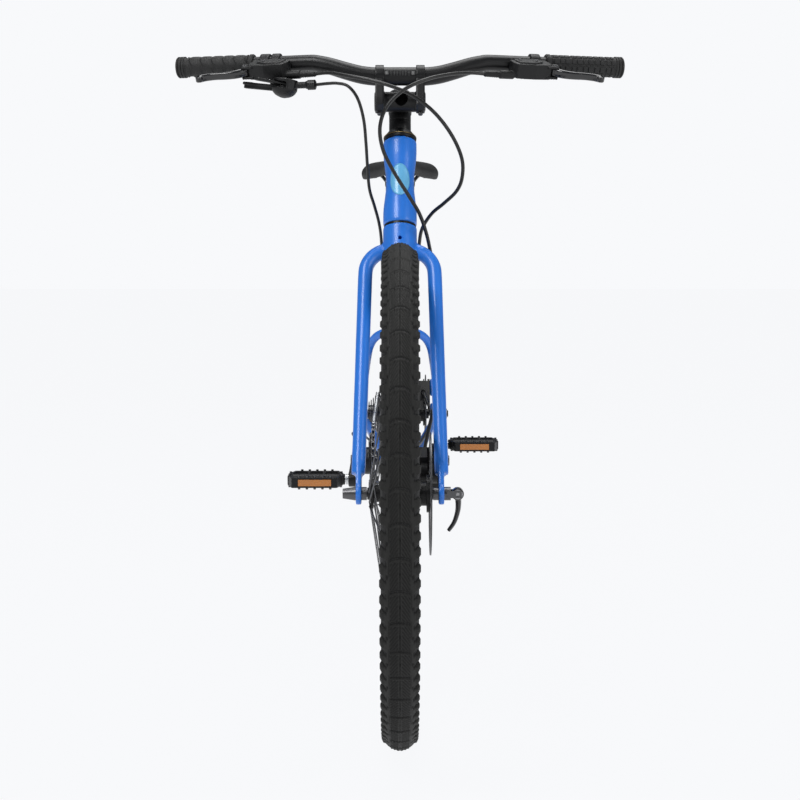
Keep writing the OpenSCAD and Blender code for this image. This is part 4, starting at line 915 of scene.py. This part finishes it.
# ---------- quick releases ----------
qr_line = smooth_path([(0, 0, 0), (1, 0, -12), (0, 0, -24), (-4.5, 0, -38), (-12, 0, -49)], 6)
qr_side = tube(qr_line, [3.6, 3.2, 2.8, 2.4, 2.0], 24)
qr_shape = joined(
    lathe(rounded(-6.4, 6.4, 8.1, 1), 48, "Y"),
    tube(qr_line, [4.4, 3.9, 3.4, 3.0, 2.6], 28),
    *(moved(qr_side, move(0, y, 0)) for y in (2.1, -2.1)),
)
qr_rings = joined(*(lathe(profile, 40, "Y") for profile in (
    [(6.45, 4), (6.5, 6.4), (7.2, 6.4), (7.25, 4)], [(-7.25, 4), (-7.2, 6.4), (-6.5, 6.4), (-6.45, 4)])))
for end, at, out in (("front", FRONT_WHEEL, 75), ("rear", REAR_WHEEL @ turn(-112, "X"), 91)):
    lever = fuse(end + "_qr_blade", qr_shape, 0.7, 3, at @ move(out, 0, 0))
    place(lever, end + "_quick_release", GLOSS, end + "_qr_lever")
    ring = make(end + "_qr_rings", qr_rings, at @ move(out, 0, 0))
    place(soften(ring), end + "_quick_release", ALLOY)

# ---------- saddle ----------
CLAMP_Y = float(on_seat(500)[1])
SADDLE_TOP = 820
# along the saddle from its nose: y, half-width, top height, side drop and how far the edge tucks in
SADDLE_STATIONS = [
    (-143, 4, -12, 6, 0.9), (-139, 12, -6, 13, 0.9), (-128, 17.5, -2.5, 20, 0.85), (-105, 20, -0.8, 24, 0.8),
    (-75, 23, -1.2, 27, 0.8), (-40, 29, -2.8, 29, 0.8), (-5, 40, -4.2, 30, 0.8), (30, 56, -4.0, 31, 0.82),
    (60, 70, -2.2, 33, 0.86), (85, 77.5, -0.4, 34, 0.88), (104, 76, -0.2, 33, 0.9), (116, 64, -2.5, 29, 0.9),
    (122, 44, -7, 22, 0.9), (124, 20, -12, 14, 0.9),
]


def saddle_shape(across=40, along=64):
    """A saddle's crowned top with a shallow channel, drooping wings and an edge that tucks in."""
    table = smooth_path(SADDLE_STATIONS, 8)
    pick = np.linspace(0, len(table) - 1, along)
    rows = np.array([[np.interp(p, range(len(table)), table[:, c]) for c in range(5)] for p in pick])
    verts = []
    for y, half, top, drop, tuck in rows:
        section = []
        for k in range(across + 1):
            q = -1 + 2 * k / across
            a = abs(q)
            x = half * copysign(min(1, 1.18 * a - 0.18 * a**3), q)
            z = top - drop * (0.12 * a**2 + 0.88 * a**7)
            z -= 1.5 * exp(-((x / 7) ** 2)) * exp(-(((y - 30) / 70) ** 2))
            if a > 0.93:
                x *= 1 - (1 - tuck) * (a - 0.93) / 0.07
            section.append((x, CLAMP_Y + y, SADDLE_TOP + z))
        verts += section
        # the underside, hollow along the middle
        for k in range(across - 1, 0, -1):
            q = -1 + 2 * k / across
            x = half * tuck * 0.93 * q
            z = top - drop + (5 + 0.25 * drop) * (1 - q * q)
            verts.append((x, CLAMP_Y + y, SADDLE_TOP + z))
    sides = 2 * across
    return np.array(verts), walls(along, sides) + caps(along, sides)


MOST_PUFF = 2.5 * MM
CLOTH_FRAMES = 12
saddle = make("saddle_padding", saddle_shape())
weld = saddle.modifiers.new("weld", "REMESH")
weld.mode = "VOXEL"
weld.voxel_size = 3.5 * MM
applied(saddle)
start = np.array([v.co for v in saddle.data.vertices])
lower = saddle.vertex_groups.new(name="base")
lower.add([v.index for v in saddle.data.vertices if v.normal.z < -0.3], 1.0, "REPLACE")
cloth = saddle.modifiers.new("cloth", "CLOTH")
cloth.settings.use_pressure = True
cloth.settings.uniform_pressure_force = 3
cloth.settings.effector_weights.gravity = 0
cloth.settings.vertex_group_mass = "base"
cloth.settings.tension_stiffness = 40
cloth.settings.compression_stiffness = 40
cloth.point_cache.frame_start, cloth.point_cache.frame_end = 1, CLOTH_FRAMES
for step in range(1, CLOTH_FRAMES + 1):
    bpy.context.scene.frame_set(step)
puffed = saddle.evaluated_get(bpy.context.evaluated_depsgraph_get())
end = np.array([v.co for v in puffed.data.vertices])
shift = end - start
size = np.linalg.norm(shift, axis=1, keepdims=True)
kept = start + shift * np.minimum(1, MOST_PUFF / np.maximum(size, 1e-9))
saddle.modifiers.clear()
bpy.context.scene.frame_set(1)
saddle.data.vertices.foreach_set("co", kept.astype(np.float32).ravel())
saddle.data.update()
relax = saddle.modifiers.new("relax", "SMOOTH")
relax.iterations = 3
round_off = saddle.modifiers.new("round", "SUBSURF")
round_off.levels = round_off.render_levels = 1
applied(saddle)
place(saddle, "seat", LEATHER, "saddle")

RAIL_Z = SADDLE_TOP - 44
RAIL = [(13, -96, 17), (17, -74, 9), (22, -50, 0), (22, -15, 0), (22, 25, 0), (23, 55, 2), (32, 86, 15),
        (34, 100, 17)]
rail = tube(smooth_path([(x, CLAMP_Y + y, RAIL_Z + z) for x, y, z in RAIL], 6), 3.45, 24)
place(make("saddle_rail_pair", both(rail)), "seat", STEEL, "saddle_rails")

CLAMP = move(0, CLAMP_Y, RAIL_Z)
post = fuse("seatpost_skin", joined(
    moved(lathe([(262, 13.5), (484, 13.5), (500, 11)]), CLAMP.inverted() @ SEAT_TUBE),
    moved(lathe(rounded(-26, 26, 10, 1.5), 48, "X"), move(0, 1, -8.5)),
    box((-27, -17, -7), (27, 17, -0.2)),
    box((-27, -15, 0.4), (27, 15, 6)),
    lathe([(-6, 4), (6.5, 4)], 24),
), 1.0, 3, CLAMP)
place(post, "seat", SATIN, "seatpost")
bolt = make("saddle_clamp_bolt", moved(socket_bolt(6, 3.2, 3), move(0, 0, 6)), CLAMP)
place(soften(bolt), "seat", DARK_STEEL)

# ---------- pedals ----------
PEDAL_IN, PEDAL_W, PEDAL_L, PEDAL_T = 92, 91, 84, 19
CRANK_LEN, CRANK_ANGLE = 165, radians(3)


def pedal_at(s):
    centre = BB + CRANK_LEN * Vector((0, -s * cos(CRANK_ANGLE), -s * sin(CRANK_ANGLE)))
    return move(*centre) @ (MIRROR if s > 0 else ROW)


x0, x1 = PEDAL_IN, PEDAL_IN + PEDAL_W
half_l, half_t = PEDAL_L / 2, PEDAL_T / 2


def pedal_end(s):
    """One of the cage's two long sides, which bends in towards the spindle; s is -1 at the front."""
    outline = [(x0 + 1, 12), (x0 + 9, half_l - 1), (x1 - 9, half_l - 1), (x1 - 1, 12),
               (x1 - 8, 12), (x1 - 13, half_l - 8), (x0 + 13, half_l - 8), (x0 + 8, 12)]
    return prism([(x, s * y) for x, y in outline][::s], -half_t + 1, half_t - 1)


pedal_solid = joined(
    *(pedal_end(s) for s in (-1, 1)),
    lathe(rounded(x0 - 2.5, x1 - 6, 9, 1), 40, "X"),
    box((x0 + 0.5, -16, -half_t + 2), (x0 + 8, 16, half_t - 2)),
    box((x1 - 8, -16, -half_t + 2), (x1 - 0.5, 16, half_t - 2)),
    *(box((x, -half_l + 6, -half_t + 3), (x + 4, half_l - 6, half_t - 3)) for x in (x0 + 31, x0 + 56)),
)
pin = lathe([(-half_t - 1.4, 1.7), (-half_t - 1.2, 2.1), (half_t + 1.2, 2.1), (half_t + 1.4, 1.7)], 12)
pin_places = [(x0 + 20 + 12.5 * k, s * (half_l - 4)) for k in range(5) for s in (-1, 1)]
pin_places += [(x, s * 14) for x in (x0 + 4, x1 - 4) for s in (-1, 1)]
pedal_pins = joined(*(moved(pin, move(x, y, 0)) for x, y in pin_places))
pedal_cut = joined(
    *(box((x0 + 18, s * (half_l + 1) - 4, -5.6), (x0 + 72, s * (half_l + 1) + 4, 5.6)) for s in (-1, 1)),
    lathe([(x0 - 8, 5.06), (x1 - 7, 5.06)], 32, "X"),
)


def reflector_face(s):
    """An amber lens with a grid of small pyramids on its face."""
    cells_x, cells_z = 20, 4
    sides = [(0, 1, 4), (1, 2, 4), (2, 3, 4), (3, 0, 4), (3, 2, 1, 0)]
    y = s * (half_l - 0.1)
    base = box((x0 + 18.6, min(y, y - s * 2.6), -5.2), (x0 + 71.4, max(y, y - s * 2.6), 5.2))
    studs = []
    for i in range(cells_x):
        for k in range(cells_z):
            cx, cz = x0 + 20.2 + i * 2.6, -3.9 + k * 2.6
            ring = [(cx + u, y, cz + v) for u, v in ((-1.2, -1.2), (1.2, -1.2), (1.2, 1.2), (-1.2, 1.2))]
            studs.append((np.array(ring + [(cx, y + s * 0.1, cz)]), sides))
    return joined(base, *studs)


for s, name in ((1, "right"), (-1, "left")):
    at = pedal_at(s)
    cage = fuse("pedal_cage_" + name, pedal_solid, 0.9, 3, at, pedal_cut)
    place(cage, "pedal_" + name, PLASTIC, "pedal_" + name)
    pins = make("pedal_pins_" + name, pedal_pins, at)
    place(soften(pins), "pedal_" + name, DARK_STEEL)
    lens = make("pedal_lenses_" + name, joined(reflector_face(1), reflector_face(-1)), at)
    place(soften(lens, 15), "pedal_" + name, AMBER, "pedal_reflectors_" + name)

# ---------- cranks ----------
AT_CRANK = move(*BB) @ turn(3, "X")
AT_CRANK_LEFT = move(*BB) @ turn(183, "X")
CHAIN_X = -46
BOLT_CIRCLE = 52


def crank_arm(x0, x1):
    return joined(
        prism(link((0, 0), (-CRANK_LEN, 0), 13.2, 9.6, 20), x0, x1, "X"),
        lathe(rounded(x0, x1, 16.4, 1.5), 48, "X"),
        moved(lathe(rounded(x0, x1, 12.4, 1.5), 48, "X"), move(0, -CRANK_LEN, 0)),
    )


ring_bolts = [(BOLT_CIRCLE * cos(a), BOLT_CIRCLE * sin(a)) for a in np.radians((45, 135, 225, 315))]
spider_arms = [prism(link((0, 0), at, 12, 7.6), CHAIN_X - 6, CHAIN_X - 1.2, "X") for at in ring_bolts]
right_arm = fuse("crank_arm_right", joined(
    crank_arm(-84, -71),
    lathe([(-72, 17), (-55, 17)], 48, "X"),
    lathe(rounded(-62, -51, 23.8, 2), 64, "X"),
    *spider_arms,
), 1.1, 5, AT_CRANK, moved(lathe([(-95, 7.2), (-60, 7.2)], 32, "X"), move(0, -CRANK_LEN, 0)))
place(right_arm, "crankset", SATIN, "crank_right")
ring_bolt = joined(lathe(rounded(-54.2, -44.4, 4, 0.4), 24, "X"),
                   moved(socket_bolt(6.5, 2.1, 2.6), move(-52, 0, 0) @ turn(-90, "Y")))
spindle_and_bolts = joined(
    lathe([(-50, 8), (48, 8)], 32, "X"),
    *(moved(ring_bolt, move(0, y, z)) for y, z in ring_bolts),
    moved(socket_bolt(10, 2.5, 4), move(-83.8, 0, 0) @ turn(-90, "Y")),
)
place(soften(make("crank_bolts", spindle_and_bolts, AT_CRANK)), "crankset", DARK_STEEL)
left_cuts = joined(
    moved(lathe([(60, 7.2), (95, 7.2)], 32, "X"), move(0, -CRANK_LEN, 0)),
    lathe([(30, 8.1), (49, 8.1)], 32, "X"),
)
left_arm = fuse("crank_arm_left", joined(crank_arm(71, 84), lathe(rounded(42, 72, 15, 1), 48, "X")), 1.1, 5,
                AT_CRANK_LEFT, left_cuts)
place(left_arm, "crankset", SATIN, "crank_left")
left_bolt = make("crank_bolt_left", socket_bolt(9, 2.5, 4), AT_CRANK_LEFT @ move(83.8, 0, 0) @ turn(90, "Y"))
place(soften(left_bolt), "crankset", DARK_STEEL)

# ---------- chain ----------
PITCH = 12.7


def pitch_radius(teeth):
    """The radius of a sprocket's circle of chain pins."""
    return PITCH / (2 * sin(pi / teeth))


RING_TEETH, COG_TEETH, PULLEY_TEETH = 34, 20, 11
GUIDE, TENSION = (522, 230), (494, 174)
# the sprockets in the order that the chain meets them: y, z, radius and the sense in which it bends round
STATIONS = [
    (BB.y, BB.z, pitch_radius(RING_TEETH), 1),
    (*TENSION, pitch_radius(PULLEY_TEETH), 1),
    (*GUIDE, pitch_radius(PULLEY_TEETH), -1),
    (REAR_AXLE.y, REAR_AXLE.z, pitch_radius(COG_TEETH), 1),
]


def leaving(i):
    """The direction of the straight run that leaves a sprocket."""
    a, b = STATIONS[i], STATIONS[(i + 1) % 4]
    dy, dz = b[0] - a[0], b[1] - a[1]
    return atan2(dz, dy) + asin((a[3] * a[2] - b[3] * b[2]) / hypot(dy, dz))


def chain_route():
    """The closed line through the chain's pins."""
    points = []
    for i, (y, z, r, sense) in enumerate(STATIONS):
        t0 = leaving((i + 3) % 4)
        t1 = ((leaving(i) - t0) * sense) % (2 * pi) * sense
        for h in np.linspace(t0, t0 + t1, 60):
            points.append((y + sense * r * sin(h), z - sense * r * cos(h)))
    return np.array(points + points[:1])


route = chain_route()
run = np.concatenate([[0], np.cumsum(np.linalg.norm(np.diff(route, axis=0), axis=1))])
LINKS = int(round(run[-1] / PITCH / 2)) * 2
pins_at = [(np.interp(d, run, route[:, 0]), np.interp(d, run, route[:, 1]))
           for d in np.arange(LINKS) * run[-1] / LINKS]


def chain_plate(p, q, low, high):
    """A waisted side plate between two pins."""
    p, q = np.array(p), np.array(q)
    d = q - p
    a = atan2(d[1], d[0])
    out = []
    for c, s in ((p, a + pi / 2 - 0.35), (q, a - pi / 2 - 0.35)):
        for k in range(9):
            t = s + (pi + 0.7) * k / 8
            out.append(tuple(c + 4.1 * np.array((cos(t), sin(t)))))
        middle = (p + q) / 2
        normal = np.array((-sin(a), cos(a))) * (1 if c is q else -1)
        out.append(tuple(middle + 3.1 * normal))
    return prism(out, low, high, "X")


links_shape = []
for i in range(LINKS):
    p, q = pins_at[i], pins_at[(i + 1) % LINKS]
    near, far = (2.35, 3.1) if i % 2 else (1.5, 2.3)
    for low, high in ((CHAIN_X + near, CHAIN_X + far), (CHAIN_X - far, CHAIN_X - near)):
        links_shape.append(chain_plate(p, q, low, high))
chain = make("chain_plates", joined(*links_shape))
place(soften(chain, 30), "frame", DARK_STEEL, "chain")
rivet = lathe([(-3.3, 1.3), (-3.1, 1.7), (3.1, 1.7), (3.3, 1.3)], 10, "X")
rivets = make("chain_pins", joined(*(moved(rivet, move(CHAIN_X, y, z)) for y, z in pins_at)))
place(soften(rivets), "frame", STEEL)

# ---------- carried-over CAD nodes ----------
KEPT = (
    (SATIN, ("seat_collar", "bottom_bracket_cups", "front_caliper", "rear_caliper", "front_hub", "rear_hub",
             "front_rim", "rear_rim", "chainring", "rear_derailleur")),
    (PLASTIC, ("guide_pulley", "tension_pulley")),
    (STEEL, ("headset_bearings", "pedal_spindles")),
    (DARK_STEEL, ("cassette", "front_axle", "rear_axle", "front_rotor", "rear_rotor", "front_spokes",
                  "rear_spokes")),
)
for (material, _), names in KEPT:
    for name in names:
        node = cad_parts[name]
        node.data.materials.clear()
        node.data.materials.append(material)
        soften(node, 32)

low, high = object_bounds()
